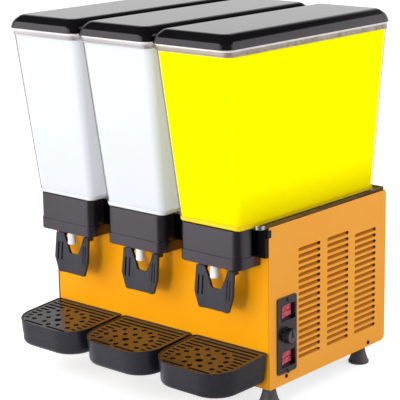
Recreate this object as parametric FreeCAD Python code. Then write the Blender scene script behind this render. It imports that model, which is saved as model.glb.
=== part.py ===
import FreeCAD, Part
import math
import os

# Cold drink dispenser with three lift-off bowls above one refrigerated cabinet.
# Millimetres. X runs across the front, Y from the front panel to the back, Z up.
# The model is drawn with X = 0 on the cabinet's centre line, Y = 0 on the front
# panel and Z = 0 on the floor, and every piece is saved about the centre of the
# whole object's footprint.

V = FreeCAD.Vector
AXIS_X = V(1, 0, 0)
AXIS_Y = V(0, 1, 0)
AXIS_Z = V(0, 0, 1)

# Driving sizes of the whole object
PITCH = 180.0
UNIT_X = [-PITCH, 0.0, PITCH]
CABINET_HALF = 269.0
CABINET_DEPTH = 360.0
CABINET_BOTTOM = 42.0
CABINET_TOP = 343.5
SHEET = 1.2
PANEL_IN = CABINET_HALF - SHEET
LOOSE = 0.2

# Top deck
DECK_HALF = 267.0
DECK_FRONT = -22.0
DECK_BACK = 358.0
DECK_RIM = 6.0

# Bowls
BOWL_Z0 = 344.5
BOWL_Z1 = 650.0
BOWL_LOW = (71.5, -59.5, 347.0, 14.0)
BOWL_HIGH = (85.0, -101.0, 370.0, 18.0)
BOWL_WALL = 3.0
BOWL_FLOOR = 4.0
RIM_TOP = 662.7
RIM_BEAD = 2.5
OUTLET_Y = -44.0
SPIGOT_R = 5.0
SPIGOT_BORE_R = 3.5
SPIGOT_DROP = 22.0
WELL_Y = 150.0
WELL_R = 52.0
WELL_COLLAR = 3.5
WELL_TOP = 362.0

# Lids
LID_HALF = 88.0
LID_FRONT = -108.0
LID_BACK = 376.0
LID_R = 20.0
LID_TOP = 689.5
LID_SHOULDER_Z = 678.0
LID_SHOULDER_INSET = 3.5
LID_TOP_INSET = 17.0
LID_SHOULDER_ROUND = 6.0
LID_TOP_ROUND = 10.0
LID_WALL = 3.0
LID_SKIRT_GAP = 0.8
LID_SKIRT_WALL = 2.0
LID_SKIRT_BOTTOM = 654.0
LID_SEAT = 2.5

# Cooling towers inside the bowls
TOWER_R = 50.0
TOWER_WALL = 1.5
TOWER_TOP = 498.0
TOWER_ROUND = 12.0
TOWER_FLANGE_R = 58.0
PADDLE_PIN_R = 3.0
PADDLE_PIN_TOP = 512.0
RUNNING_GAP = 0.05

# Dispensing heads
HEAD_HALF = 70.0
HEAD_FRONT = -61.5
HEAD_BACK = -23.0
HEAD_Z0 = 295.0
HEAD_Z1 = 344.0
HEAD_WALL = 3.0
HEAD_R = 19.0
BRACKET_FRONT = -8.0
BRACKET_Z0 = 289.0
BRACKET_Z1 = 342.0
SKIRT_PROUD = 1.5
SKIRT_BOTTOM = 274.5
SKIRT_R = HEAD_R + SKIRT_PROUD
SKIRT_WALL = 2.5
SKIRT_BACK = -3.0
TUBE_R = 8.0
TUBE_BOTTOM = 248.0
TUBE_TOP = 335.0

# Push levers
PIVOT_Y = -32.0
PIVOT_Z = 285.0
PIVOT_R = 3.0
LEVER_BOTTOM = 187.0
LEVER_WIDE_Z = 216.0
LEVER_TOP = 264.0
LEVER_HALF_BOTTOM = 34.0
LEVER_HALF_WIDE = 44.0
LEVER_HALF_TOP = 43.0
LEVER_FACET = 18.5
LEVER_WING = 7.0
LEVER_THICK = 6.0
LEVER_FRONT = -37.0
LEVER_TILT = 6.0
LEVER_GROOVE_X = [28.5, 36.5]
LEVER_GROOVE_Z = (212.0, 245.0)
LEVER_GROOVE_HALF = 1.7
LEVER_GROOVE_DEPTH = 1.6
WINDOW_BOTTOM = 226.0
WINDOW_HALF_BOTTOM = 11.0
WINDOW_HALF_TOP = 28.0
WINDOW_R = 5.0
LUG_IN = 44.0
LUG_OUT = 49.0
SPRING_X = 15.2
SPRING_LENGTH = 11.0
SPRING_TURNS = 5
SPRING_COIL_R = 5.4
SPRING_WIRE_R = 0.8
SPRING_UPPER_LEG = 8.5
SPRING_LOWER_LEG = 20.0

# Drip trays and grids
TRAY_HALF = 86.5
TRAY_FRONT = -136.5
TRAY_BACK = -1.0
TRAY_Z0 = 55.5
TRAY_BACK_Z = 112.5
TRAY_FRONT_Z = 103.5
TRAY_SLOPE = (TRAY_BACK_Z - TRAY_FRONT_Z) / (TRAY_BACK - TRAY_FRONT)
TRAY_BAND_Z = 78.0
TRAY_TAPER = 3.0
TRAY_STEP = 4.0
TRAY_WALL = 3.0
TRAY_FRONT_R = 54.0
TRAY_BACK_R = 8.0
TRAY_BOTTOM_R = 10.0
TRAY_RIM = 3.5
GRID_DROP = 1.0
GRID_THICK = 3.0
GRID_GAP = 0.5
GRID_MARGIN = 6.0
GRID_ROWS = 9
GRID_ROW_Y = -15.0
GRID_ROW_STEP = 11.8
GRID_SLOT_HALF = 2.8
GRID_FRONT_SLOT_Y = -124.5
ROSETTE_Y = -89.0
ROSETTE_RINGS = [(26.0, 8, 45.0, 0.0), (50.0, 11, 22.5, -22.5)]
ROSETTE_HOLE = (14.0, 12.0)
ROSETTE_CENTRE_R = 7.0
ROSETTE_CLEAR_R = 61.0
TONGUE_X = 55.0
TONGUE_HALF = 10.0
TONGUE_Z0 = 92.0
TONGUE_THICK = 4.0
TONGUE_LENGTH = 14.0
TONGUE_GAP = 0.5

# Control plate on the right side
PLATE_Y0 = 20.0
PLATE_Y1 = 76.0
PLATE_Z0 = 64.0
PLATE_Z1 = 208.0
PLATE_THICK = 2.5
PLATE_FACE = CABINET_HALF + PLATE_THICK
POCKET_Y0 = 31.5
POCKET_Y1 = 71.5
POCKET_HEIGHT = 30.0
POCKET_Z = [90.0, 178.0]
POCKET_WALL = 1.6
POCKET_DEPTH = 7.0
SWITCH_FACE = PLATE_FACE - POCKET_DEPTH
ROCKER_Y = 52.0
ROCKER_HALF = 15.2
ROCKER_HEIGHT = 11.8
ROCKER_TILT = 8.0
ROCKER_PIVOT_X = 262.0
ROCKER_OFFSET = 6.7
KNOB_Y = 48.0
KNOB_Z = 135.0
KNOB_R = 17.0
KNOB_HEIGHT = 13.0
SPINDLE_R = 3.0

# Feet and fasteners
FOOT_SPOTS = [(-239.0, 36.0), (239.0, 36.0), (-239.0, 317.0), (239.0, 317.0)]
FOOT_R = 20.0
FOOT_NECK_R = 11.5
STUD_R = 4.0
SCREW_R = 2.0
SCREW_HEAD_R = 4.0
SCREW_HEAD = 2.2
SCREW_LENGTH = 8.0
SIDE_SCREWS = [(48.0, 57.0), (305.0, 50.0)]
REAR_SCREW_X = 260.0
REAR_SCREW_Z = [80.0, 200.0, 320.0]
BRACKET_SCREW_X = 90.0
BRACKET_SCREW_Z = [302.0, 329.0]
PLATE_SCREW_Y = 50.5
PLATE_SCREW_Z = [66.5, 201.5]

# Louvres in the side panels
LOUVRE_COLUMNS = [(84.0, 150.0), (171.0, 238.0), (258.0, 327.0)]
LOUVRE_ROWS = 18
LOUVRE_TOP = 285.0
LOUVRE_STEP = 11.9
LOUVRE_HEIGHT = 6.8
LOUVRE_DEPTH = 8.0
LOUVRE_END_GAP = 4.0

# Refrigeration inside the cabinet
COMPRESSOR = (-130.0, 235.0)
COMPRESSOR_R = 66.0
CONDENSER_X = (218.0, 258.0)
CONDENSER_Y = (110.0, 310.0)
CONDENSER_Z = (83.0, 275.0)
CONDENSER_TUBES_X = [228.0, 248.0]
CONDENSER_ROWS = 8
CONDENSER_ROW_Z = 95.0
CONDENSER_ROW_STEP = 24.0
CONDENSER_FINS = 24
FAN_Y = 210.0
FAN_Z = 179.0
FAN_R = 74.0
DRIER = (60.0, 318.0)
DRIER_Z = (120.0, 210.0)
SHROUD_X = 206.0
GLAND_X = -225.0
GLAND_Z = 75.0
GLAND_BORE_R = 4.0
GLAND_END = 376.0

# The whole object's footprint, for the saved origin
SPAN_LEFT = -CABINET_HALF - SCREW_HEAD
SPAN_RIGHT = PLATE_FACE + LOOSE + KNOB_HEIGHT
ORIGIN = V((SPAN_LEFT + SPAN_RIGHT) / 2, (TRAY_FRONT + LID_BACK) / 2, 0)


def save(node, shape):
    """Write one named piece as STEP about the object's own origin."""
    moved = shape.copy()
    moved.translate(-ORIGIN)
    moved.exportStep(os.path.join("parts", node + ".step"))


def block(x0, x1, y0, y1, z0, z1):
    """A box between two corners."""
    return Part.makeBox(x1 - x0, y1 - y0, z1 - z0, V(x0, y0, z0))


def rod(x, y, z, direction, length, radius):
    """A solid cylinder from a point along a direction."""
    return Part.makeCylinder(radius, length, V(x, y, z), direction)


def ring(x, y, z, direction, length, outer, inner):
    """A hollow cylinder from a point along a direction."""
    return rod(x, y, z, direction, length, outer).cut(rod(x, y, z, direction, length, inner))


def rounded_outline(half, y0, y1, z, front_r, back_r):
    """A closed outline, rounded at its four corners, on the plane at height z."""
    corners = [
        (-half, y0, 180, front_r),
        (half, y0, 270, front_r),
        (half, y1, 0, back_r),
        (-half, y1, 90, back_r),
    ]
    arcs = []
    for x, y, start, r in corners:
        cx = x - math.copysign(r, x)
        cy = y + r if y == y0 else y - r
        turns = [math.radians(start + part) for part in (0, 45, 90)]
        arcs.append([V(cx + r * math.cos(a), cy + r * math.sin(a), z) for a in turns])
    edges = []
    for i, arc in enumerate(arcs):
        edges.append(Part.Arc(*arc).toShape())
        edges.append(Part.LineSegment(arc[2], arcs[(i + 1) % 4][0]).toShape())
    return Part.Wire(edges)


def slab(outline, height):
    """An outline raised to a solid of even height."""
    return Part.Face(outline).extrude(V(0, 0, height))


def fuse_all(shapes):
    """One solid made of shapes that meet."""
    joined = shapes[0]
    if len(shapes) > 1:
        joined = joined.multiFuse(shapes[1:])
    return joined.removeSplitter()


def fillet_near(shape, radius, spots):
    """Round the edges whose middles lie at the given points."""
    chosen = []
    for edge in shape.Edges:
        middle = edge.CenterOfMass
        if any((middle - V(*spot)).Length < 0.6 for spot in spots):
            chosen.append(edge)
    return shape.makeFillet(radius, chosen)


def fillet_level(shape, radius, z):
    """Round every edge that lies flat at height z."""
    level = []
    for edge in shape.Edges:
        span = edge.BoundBox
        if abs(span.ZMin - z) < 0.01 and abs(span.ZMax - z) < 0.01:
            level.append(edge)
    return shape.makeFillet(radius, level)


def polygon(points):
    """A flat face through points."""
    corners = [V(*p) for p in points]
    return Part.Face(Part.makePolygon(corners + [corners[0]]))


def pipe(points, radius, bend):
    """A round bar along straight runs joined by tangent arcs."""
    places = [V(*p) for p in points]
    edges = []
    start = places[0]
    for i in range(1, len(places) - 1):
        back = (places[i - 1] - places[i]).normalize()
        ahead = (places[i + 1] - places[i]).normalize()
        turn = math.pi - back.getAngle(ahead)
        reach = bend * math.tan(turn / 2)
        enter = places[i] + back * reach
        leave = places[i] + ahead * reach
        inward = (back + ahead).normalize()
        middle = places[i] + inward * (bend / math.cos(turn / 2) - bend)
        edges.append(Part.LineSegment(start, enter).toShape())
        edges.append(Part.Arc(enter, middle, leave).toShape())
        start = leave
    edges.append(Part.LineSegment(start, places[-1]).toShape())
    direction = (places[1] - places[0]).normalize()
    section = Part.Face(Part.Wire(Part.makeCircle(radius, places[0], direction)))
    return Part.Wire(edges).makePipe(section)


def screw(x, y, z, inward):
    """A pan-head screw whose head bears at a point and whose shank runs inward."""
    head = rod(x, y, z, inward * -1, SCREW_HEAD, SCREW_HEAD_R)
    shank = rod(x, y, z, inward, SCREW_LENGTH, SCREW_R)
    return head.fuse(shank).removeSplitter()


def screw_hole(x, y, z, inward):
    """The hole that one screw's shank fills."""
    return rod(x, y, z, inward, SCREW_LENGTH, SCREW_R)


def side_screws(side):
    """Places of one side panel's screws."""
    return [(side * CABINET_HALF, y, z, AXIS_X * -side) for y, z in SIDE_SCREWS]


def rear_screws():
    """Places of the rear panel's screws."""
    spots = []
    for side in (-1, 1):
        for z in REAR_SCREW_Z:
            spots.append((side * REAR_SCREW_X, CABINET_DEPTH + LOOSE, z, AXIS_Y * -1))
    return spots


def bracket_screws():
    """Places of the head bracket's screws."""
    spots = []
    for side in (-1, 1):
        for z in BRACKET_SCREW_Z:
            spots.append((side * BRACKET_SCREW_X, BRACKET_FRONT, z, AXIS_Y))
    return spots


def plate_screws():
    """Places of the control plate's screws."""
    return [(PLATE_FACE, PLATE_SCREW_Y, z, AXIS_X * -1) for z in PLATE_SCREW_Z]


def drill(shape, spots):
    """Cut the screw holes at the given places."""
    return shape.cut([screw_hole(*spot) for spot in spots])


# Cabinet

def base_pan():
    """The folded floor of the cabinet, with weld nuts for the feet and studs for the compressor."""
    half = PANEL_IN - 1.6
    front = SHEET + LOOSE
    back = CABINET_DEPTH - SHEET - LOOSE
    z0 = CABINET_BOTTOM
    side_top = 62.0
    end_top = 56.0
    floor = z0 + 1.5
    pan = slab(rounded_outline(half, front, back, z0, 6, 3), side_top - z0)
    pan = pan.cut(slab(rounded_outline(half - SHEET, front + SHEET, back - SHEET, floor, 5, 2), side_top))
    notch = half - 14
    pan = pan.cut(block(-notch, notch, front - 1, front + SHEET + 1, end_top, side_top + 1))
    pan = pan.cut(block(-notch, notch, back - SHEET - 1, back + 1, end_top, side_top + 1))
    extras = []
    for x, y in FOOT_SPOTS:
        extras.append(rod(x, y, floor, AXIS_Z, 6.5, 7.5))
    for x, y in compressor_feet():
        extras.append(rod(x, y, floor, AXIS_Z, 22, STUD_R))
    pan = fuse_all([pan] + extras)
    holes = [rod(x, y, z0 - 1, AXIS_Z, 12, STUD_R) for x, y in FOOT_SPOTS]
    for i in range(8):
        y = 120 + i * 24
        holes.append(block(150, 205, y, y + 7, z0 - 1, floor + 1))
    pan = pan.cut(holes)
    return drill(pan, side_screws(-1) + side_screws(1))


def front_panel():
    """The painted front, bent back at both ends, with slots for the drip trays' tongues."""
    half = PANEL_IN - LOOSE
    bend = 5.0
    depth = 16.0
    inner = bend - SHEET
    k = math.sqrt(0.5)
    edges = []

    def line(a, b):
        edges.append(Part.LineSegment(V(*a), V(*b)).toShape())

    def arc(a, m, b):
        edges.append(Part.Arc(V(*a), V(*m), V(*b)).toShape())

    z = CABINET_BOTTOM + LOOSE
    cx = half - bend
    line((-half, depth, z), (-half, bend, z))
    arc((-half, bend, z), (-cx - bend * k, bend - bend * k, z), (-cx, 0, z))
    line((-cx, 0, z), (cx, 0, z))
    arc((cx, 0, z), (cx + bend * k, bend - bend * k, z), (half, bend, z))
    line((half, bend, z), (half, depth, z))
    line((half, depth, z), (half - SHEET, depth, z))
    line((half - SHEET, depth, z), (half - SHEET, bend, z))
    arc((half - SHEET, bend, z), (cx + inner * k, bend - inner * k, z), (cx, SHEET, z))
    line((cx, SHEET, z), (-cx, SHEET, z))
    arc((-cx, SHEET, z), (-cx - inner * k, bend - inner * k, z), (-half + SHEET, bend, z))
    line((-half + SHEET, bend, z), (-half + SHEET, depth, z))
    line((-half + SHEET, depth, z), (-half, depth, z))
    panel = slab(Part.Wire(edges), BRACKET_Z1 - z)
    slots = []
    reach = TONGUE_HALF + TONGUE_GAP
    for unit in UNIT_X:
        for side in (-1, 1):
            x = unit + side * TONGUE_X
            z0 = TONGUE_Z0 - TONGUE_GAP
            slots.append(block(x - reach, x + reach, -1, 3, z0, z0 + TONGUE_THICK + 2 * TONGUE_GAP))
    return drill(panel.cut(slots), bracket_screws())


def louvre(y0, y1, z):
    """One louvre of the right side panel: its slot and the vane pressed inward below it."""
    r = LOUVRE_HEIGHT / 2
    x0 = PANEL_IN - 1
    outline = Part.Wire([
        Part.LineSegment(V(x0, y0 + r, z - r), V(x0, y1 - r, z - r)).toShape(),
        Part.Arc(V(x0, y1 - r, z - r), V(x0, y1, z), V(x0, y1 - r, z + r)).toShape(),
        Part.LineSegment(V(x0, y1 - r, z + r), V(x0, y0 + r, z + r)).toShape(),
        Part.Arc(V(x0, y0 + r, z + r), V(x0, y0, z), V(x0, y0 + r, z - r)).toShape(),
    ])
    slot = Part.Face(outline).extrude(V(SHEET + 2, 0, 0))
    y = y0 + 1
    vane = polygon([
        (PANEL_IN, y, z - r - 1.2),
        (PANEL_IN, y, z - r),
        (PANEL_IN - LOUVRE_DEPTH + 0.8, y, z + r + 0.4),
        (PANEL_IN - LOUVRE_DEPTH, y, z + r - 0.5),
    ]).extrude(V(0, y1 - y - LOUVRE_END_GAP, 0))
    return slot, vane


def right_side_sheet():
    """A side panel as the right one, without its control cut-out."""
    sheet = block(PANEL_IN, CABINET_HALF, 0, CABINET_DEPTH, CABINET_BOTTOM, CABINET_TOP)
    middle = CABINET_HALF - SHEET / 2
    sheet = fillet_near(sheet, 9.0, [(middle, CABINET_DEPTH, CABINET_TOP)])
    sheet = fillet_near(sheet, 12.0, [(middle, CABINET_DEPTH, CABINET_BOTTOM)])
    slots = []
    vanes = []
    for column, (y0, y1) in enumerate(LOUVRE_COLUMNS):
        first = 1 if column == len(LOUVRE_COLUMNS) - 1 else 0
        for row in range(first, LOUVRE_ROWS):
            slot, vane = louvre(y0, y1, LOUVRE_TOP - row * LOUVRE_STEP)
            slots.append(slot)
            vanes.append(vane)
    flange = block(PANEL_IN - 14, PANEL_IN, CABINET_DEPTH - 2 * SHEET, CABINET_DEPTH - SHEET, 64, 330)
    sheet = sheet.cut(slots)
    return sheet.multiFuse(vanes + [flange])


def side_panels():
    """The left and right side panels."""
    sheet = right_side_sheet()
    left = sheet.mirror(V(0, 0, 0), AXIS_X)
    left = drill(left, side_screws(-1) + rear_screws())
    y0 = POCKET_Y0 - 3.5
    y1 = POCKET_Y1 + 3
    opening = block(PANEL_IN - 1, CABINET_HALF + 1, y0, y1, PLATE_Z0 + 8, PLATE_Z1 - 11)
    right = sheet.cut(opening)
    right = drill(right, side_screws(1) + rear_screws() + plate_screws())
    return left, right


def rear_panel():
    """The bare sheet at the back, with an air grille and the cable gland's hole."""
    half = PANEL_IN - LOOSE
    y0 = CABINET_DEPTH - SHEET + LOOSE
    panel = block(-half, half, y0, CABINET_DEPTH + LOOSE, CABINET_BOTTOM + 2, CABINET_TOP - 1.5)
    cuts = []
    for row in range(12):
        z = 100 + row * 16
        for x in (-150, -60, 30, 120):
            cuts.append(block(x, x + 70, y0 - 1, CABINET_DEPTH + 1, z, z + 5))
    cuts.append(rod(GLAND_X, y0 - 1, GLAND_Z, AXIS_Y, 4, 9))
    return drill(panel.cut(cuts), rear_screws())


def deck_outline(inset, z):
    """The outline of the top deck, drawn in by an inset."""
    return rounded_outline(DECK_HALF - inset, DECK_FRONT + inset, DECK_BACK - inset, z, 12 - inset, 6 - inset)


def top_deck():
    """The shallow stainless deck that the bowls stand in."""
    floor_z = CABINET_TOP - SHEET
    deck = slab(deck_outline(0, floor_z), SHEET + DECK_RIM)
    deck = deck.cut(slab(deck_outline(SHEET, CABINET_TOP), DECK_RIM + 1))
    cuts = []
    for x in UNIT_X:
        cuts.append(rod(x, WELL_Y, floor_z - 1, AXIS_Z, 4, TOWER_R))
        half = BOWL_LOW[0] + 1.5
        rim_back = DECK_FRONT + 2 * SHEET
        cuts.append(block(x - half, x + half, DECK_FRONT - 1, rim_back, CABINET_TOP, CABINET_TOP + 20))
    return deck.cut(cuts)


def feet():
    """Four bell-shaped feet with their studs."""
    solids = []
    for x, y in FOOT_SPOTS:
        side = Part.BSplineCurve()
        waist = V(FOOT_NECK_R + 1.5, 0, 24)
        side.interpolate([V(FOOT_R, 0, 5), V(FOOT_R - 3, 0, 12), waist, V(FOOT_NECK_R, 0, 36)])
        edges = [
            Part.LineSegment(V(0, 0, 0), V(FOOT_R - 1, 0, 0)).toShape(),
            Part.LineSegment(V(FOOT_R - 1, 0, 0), V(FOOT_R, 0, 5)).toShape(),
            side.toShape(),
            Part.LineSegment(V(FOOT_NECK_R, 0, 36), V(FOOT_NECK_R, 0, CABINET_BOTTOM)).toShape(),
            Part.LineSegment(V(FOOT_NECK_R, 0, CABINET_BOTTOM), V(0, 0, CABINET_BOTTOM)).toShape(),
            Part.LineSegment(V(0, 0, CABINET_BOTTOM), V(0, 0, 0)).toShape(),
        ]
        bell = Part.Face(Part.Wire(edges)).revolve(V(0, 0, 0), AXIS_Z, 360)
        foot = bell.fuse(rod(0, 0, CABINET_BOTTOM, AXIS_Z, 10, STUD_R))
        foot.translate(V(x, y, 0))
        solids.append(foot)
    return Part.makeCompound(solids)


def screws():
    """All the identical pan-head screws."""
    spots = side_screws(-1) + side_screws(1) + rear_screws() + bracket_screws() + plate_screws()
    return Part.makeCompound([screw(*spot) for spot in spots])


# Dispensing heads

def head_bracket():
    """The channel across the front panel that carries the heads, hooked over both side panels."""
    wall = 2.0
    bar = block(-DECK_HALF, DECK_HALF, BRACKET_FRONT, 0, BRACKET_Z0, BRACKET_Z1)
    inside = DECK_HALF - wall
    bar = bar.cut(block(-inside, inside, BRACKET_FRONT + wall, 1, BRACKET_Z0 + wall, BRACKET_Z1 - wall))
    hooks = []
    hook_out = CABINET_HALF + 1.7
    for side in (-1, 1):
        hook = block(DECK_HALF - 0.5, hook_out, BRACKET_FRONT + 2, -LOOSE, 325.5, 339)
        lip = block(CABINET_HALF + LOOSE, hook_out, -LOOSE, 4, 325.5, 339)
        hook = hook.fuse(lip)
        hooks.append(hook if side > 0 else hook.mirror(V(0, 0, 0), AXIS_X))
    return drill(fuse_all([bar] + hooks), bracket_screws())


def tap_housing():
    """One head's casing: an open-topped box with a neck to the bracket and lugs for the lever pin."""
    body = slab(rounded_outline(HEAD_HALF, HEAD_FRONT, HEAD_BACK, HEAD_Z0, HEAD_R, 3), HEAD_Z1 - HEAD_Z0)
    neck_half = 45.0
    neck = block(-neck_half, neck_half, HEAD_BACK - 1, BRACKET_FRONT, HEAD_Z0 + 2, HEAD_Z1 - 4)
    lugs = []
    for side in (-1, 1):
        x0, x1 = sorted((side * LUG_IN, side * LUG_OUT))
        lug = block(x0, x1, PIVOT_Y - 6, PIVOT_Y + 6, PIVOT_Z, HEAD_Z0)
        lugs.append(lug)
        lugs.append(rod(x0, PIVOT_Y, PIVOT_Z, AXIS_X, LUG_OUT - LUG_IN, 6))
    anchor = block(17.5, 21.6, PIVOT_Y + 6.3, PIVOT_Y + 10, PIVOT_Z + 2, HEAD_Z0)
    housing = fuse_all([body, neck, anchor] + lugs)
    w = HEAD_WALL
    inside = rounded_outline(HEAD_HALF - w, HEAD_FRONT + w, HEAD_BACK - w, HEAD_Z0 + w, HEAD_R - w, 1)
    hollow = slab(inside, HEAD_Z1 - HEAD_Z0)
    neck_in = neck_half - w
    neck_z0 = HEAD_Z0 + w + 2
    neck_hollow = block(-neck_in, neck_in, HEAD_BACK - w - 1, BRACKET_FRONT - w, neck_z0, HEAD_Z1 - 7)
    tube_hole = rod(0, OUTLET_Y, HEAD_Z0 - 1, AXIS_Z, 10, TUBE_R + 0.6)
    pin_hole = rod(-LUG_OUT - 1, PIVOT_Y, PIVOT_Z, AXIS_X, 2 * LUG_OUT + 2, PIVOT_R)
    return housing.cut([hollow, neck_hollow, tube_hole, pin_hole])


def tap_skirt():
    """The band under one head that hides the lever's pivot."""
    half = HEAD_HALF + SKIRT_PROUD
    front = HEAD_FRONT - SKIRT_PROUD
    height = HEAD_Z0 - SKIRT_BOTTOM
    outer = slab(rounded_outline(half, front, SKIRT_BACK, SKIRT_BOTTOM, SKIRT_R, 0.5), height)
    w = SKIRT_WALL
    inner_outline = rounded_outline(half - w, front + w, SKIRT_BACK + 10, SKIRT_BOTTOM - 1, SKIRT_R - w, 0.5)
    inner = slab(inner_outline, height - 1)
    opening = block(-58, 58, -54, 5, HEAD_Z0 - 4, HEAD_Z0 + 1)
    bracket_room = block(-half - 1, half + 1, BRACKET_FRONT - LOOSE, 5, BRACKET_Z0 - 0.5, HEAD_Z0 + 1)
    return outer.cut([inner, opening, bracket_room])


def lever_pin():
    """The steel pin that one lever turns on."""
    return rod(-LUG_OUT, PIVOT_Y, PIVOT_Z, AXIS_X, 2 * LUG_OUT, PIVOT_R)


def lever_spring():
    """The torsion spring that closes one tap: a coil on the pin beside the tube, with two straight legs."""
    helix = Part.makeHelix(SPRING_LENGTH / SPRING_TURNS, SPRING_LENGTH, SPRING_COIL_R)
    first = helix.Edges[0]
    begin = first.valueAt(first.FirstParameter)
    last = helix.Edges[-1]
    finish = last.valueAt(last.LastParameter)
    upper_end = begin - V(0, SPRING_UPPER_LEG, 0)
    upper_leg = Part.LineSegment(upper_end, begin).toShape()
    lower_leg = Part.LineSegment(finish, finish + V(0, SPRING_LOWER_LEG, 0)).toShape()
    path = Part.Wire([upper_leg] + helix.Edges + [lower_leg])
    section = Part.Wire(Part.makeCircle(SPRING_WIRE_R, upper_end, AXIS_Y))
    spring = Part.Solid(path.makePipeShell([section], True, True))
    x = SPRING_X + SPRING_LENGTH / 2
    turn = FreeCAD.Matrix(0, 0, -1, x, 1, 0, 0, PIVOT_Y, 0, -1, 0, PIVOT_Z, 0, 0, 0, 1)
    spring.Placement = FreeCAD.Placement(turn)
    return spring


def lever_face_y(x):
    """Where the front of the upright paddle lies at a place across it."""
    rise = (abs(x) - LEVER_FACET) / (LEVER_HALF_WIDE - LEVER_FACET)
    return LEVER_FRONT - LEVER_WING * max(rise, 0)


def lever_grooves():
    """The shallow upright grooves in both wings of a lever's paddle."""
    grooves = []
    z0, z1 = LEVER_GROOVE_Z
    half = LEVER_GROOVE_HALF
    for x in [side * place for side in (-1, 1) for place in LEVER_GROOVE_X]:
        y = lever_face_y(x) - 4
        depth = 4 + LEVER_GROOVE_DEPTH
        grooves.append(block(x - half, x + half, y, y + depth, z0, z1))
        grooves += [rod(x, y, z, AXIS_Y, depth, half) for z in (z0, z1)]
    return grooves


def lever():
    """One push lever: a dished paddle with a window for the tube, on two arms and a hub."""
    wide = LEVER_HALF_WIDE + 4
    wing_front = LEVER_FRONT - LEVER_WING * (wide - LEVER_FACET) / (LEVER_HALF_WIDE - LEVER_FACET)
    z0 = LEVER_BOTTOM
    plan = polygon([
        (-wide, wing_front, z0),
        (-LEVER_FACET, LEVER_FRONT, z0),
        (LEVER_FACET, LEVER_FRONT, z0),
        (wide, wing_front, z0),
        (wide, wing_front + LEVER_THICK, z0),
        (LEVER_FACET, LEVER_FRONT + LEVER_THICK, z0),
        (-LEVER_FACET, LEVER_FRONT + LEVER_THICK, z0),
        (-wide, wing_front + LEVER_THICK, z0),
    ])
    paddle = plan.extrude(V(0, 0, LEVER_TOP - z0))
    y = -70.0
    outline = polygon([
        (-LEVER_HALF_BOTTOM, y, z0),
        (LEVER_HALF_BOTTOM, y, z0),
        (LEVER_HALF_WIDE, y, LEVER_WIDE_Z),
        (LEVER_HALF_TOP, y, LEVER_TOP),
        (-LEVER_HALF_TOP, y, LEVER_TOP),
        (-LEVER_HALF_WIDE, y, LEVER_WIDE_Z),
    ]).extrude(V(0, 60, 0))
    outline = fillet_near(outline, 6.0, [(s * LEVER_HALF_BOTTOM, y + 30, z0) for s in (-1, 1)])
    outline = fillet_near(outline, 14.0, [(s * LEVER_HALF_WIDE, y + 30, LEVER_WIDE_Z) for s in (-1, 1)])
    window = polygon([
        (-WINDOW_HALF_BOTTOM, y, WINDOW_BOTTOM),
        (WINDOW_HALF_BOTTOM, y, WINDOW_BOTTOM),
        (WINDOW_HALF_TOP, y, LEVER_TOP + 1),
        (-WINDOW_HALF_TOP, y, LEVER_TOP + 1),
    ]).extrude(V(0, 60, 0))
    corners = [(s * WINDOW_HALF_BOTTOM, y + 30, WINDOW_BOTTOM) for s in (-1, 1)]
    window = fillet_near(window, WINDOW_R, corners)
    paddle = paddle.common(outline).cut([window] + lever_grooves())
    paddle.rotate(V(0, LEVER_FRONT, LEVER_TOP), AXIS_X, -LEVER_TILT)
    pieces = [paddle]
    for side in (-1, 1):
        x0, x1 = sorted((side * WINDOW_HALF_TOP, side * LEVER_HALF_TOP))
        pieces.append(block(x0, x1, LEVER_FRONT, LEVER_FRONT + 9, LEVER_TOP - 6, PIVOT_Z))
        x0, x1 = sorted((side * 22, side * 43))
        pieces.append(rod(x0, PIVOT_Y, PIVOT_Z, AXIS_X, 21, 7))
    nose_front = OUTLET_Y + TUBE_R + 0.4
    nose_half = WINDOW_HALF_TOP + 1
    pieces.append(block(-nose_half, nose_half, nose_front, PIVOT_Y + 4.5, LEVER_TOP, LEVER_TOP + 8))
    whole = fuse_all(pieces)
    bore = rod(-50, PIVOT_Y, PIVOT_Z, AXIS_X, 100, PIVOT_R + RUNNING_GAP)
    return whole.cut(bore)


def dispense_tube():
    """The soft tube under one bowl's spigot, which the lever pinches shut."""
    return ring(0, OUTLET_Y, TUBE_BOTTOM, AXIS_Z, TUBE_TOP - TUBE_BOTTOM, TUBE_R, SPIGOT_R)


# Bowls and lids

def bowl_outline(z, inset):
    """The bowl's tapering outline at a height, drawn in by an inset."""
    share = (z - BOWL_Z0) / (BOWL_Z1 - BOWL_Z0)
    half, y0, y1, r = [low + (high - low) * share for low, high in zip(BOWL_LOW, BOWL_HIGH)]
    return rounded_outline(half - inset, y0 + inset, y1 - inset, z, r - inset, r - inset)


def rim_outline(z, inset):
    """The outline of the bowl's upright rim, drawn in by an inset."""
    half, y0, y1, r = BOWL_HIGH
    return rounded_outline(half - inset, y0 + inset, y1 - inset, z, r - inset, r - inset)


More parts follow.
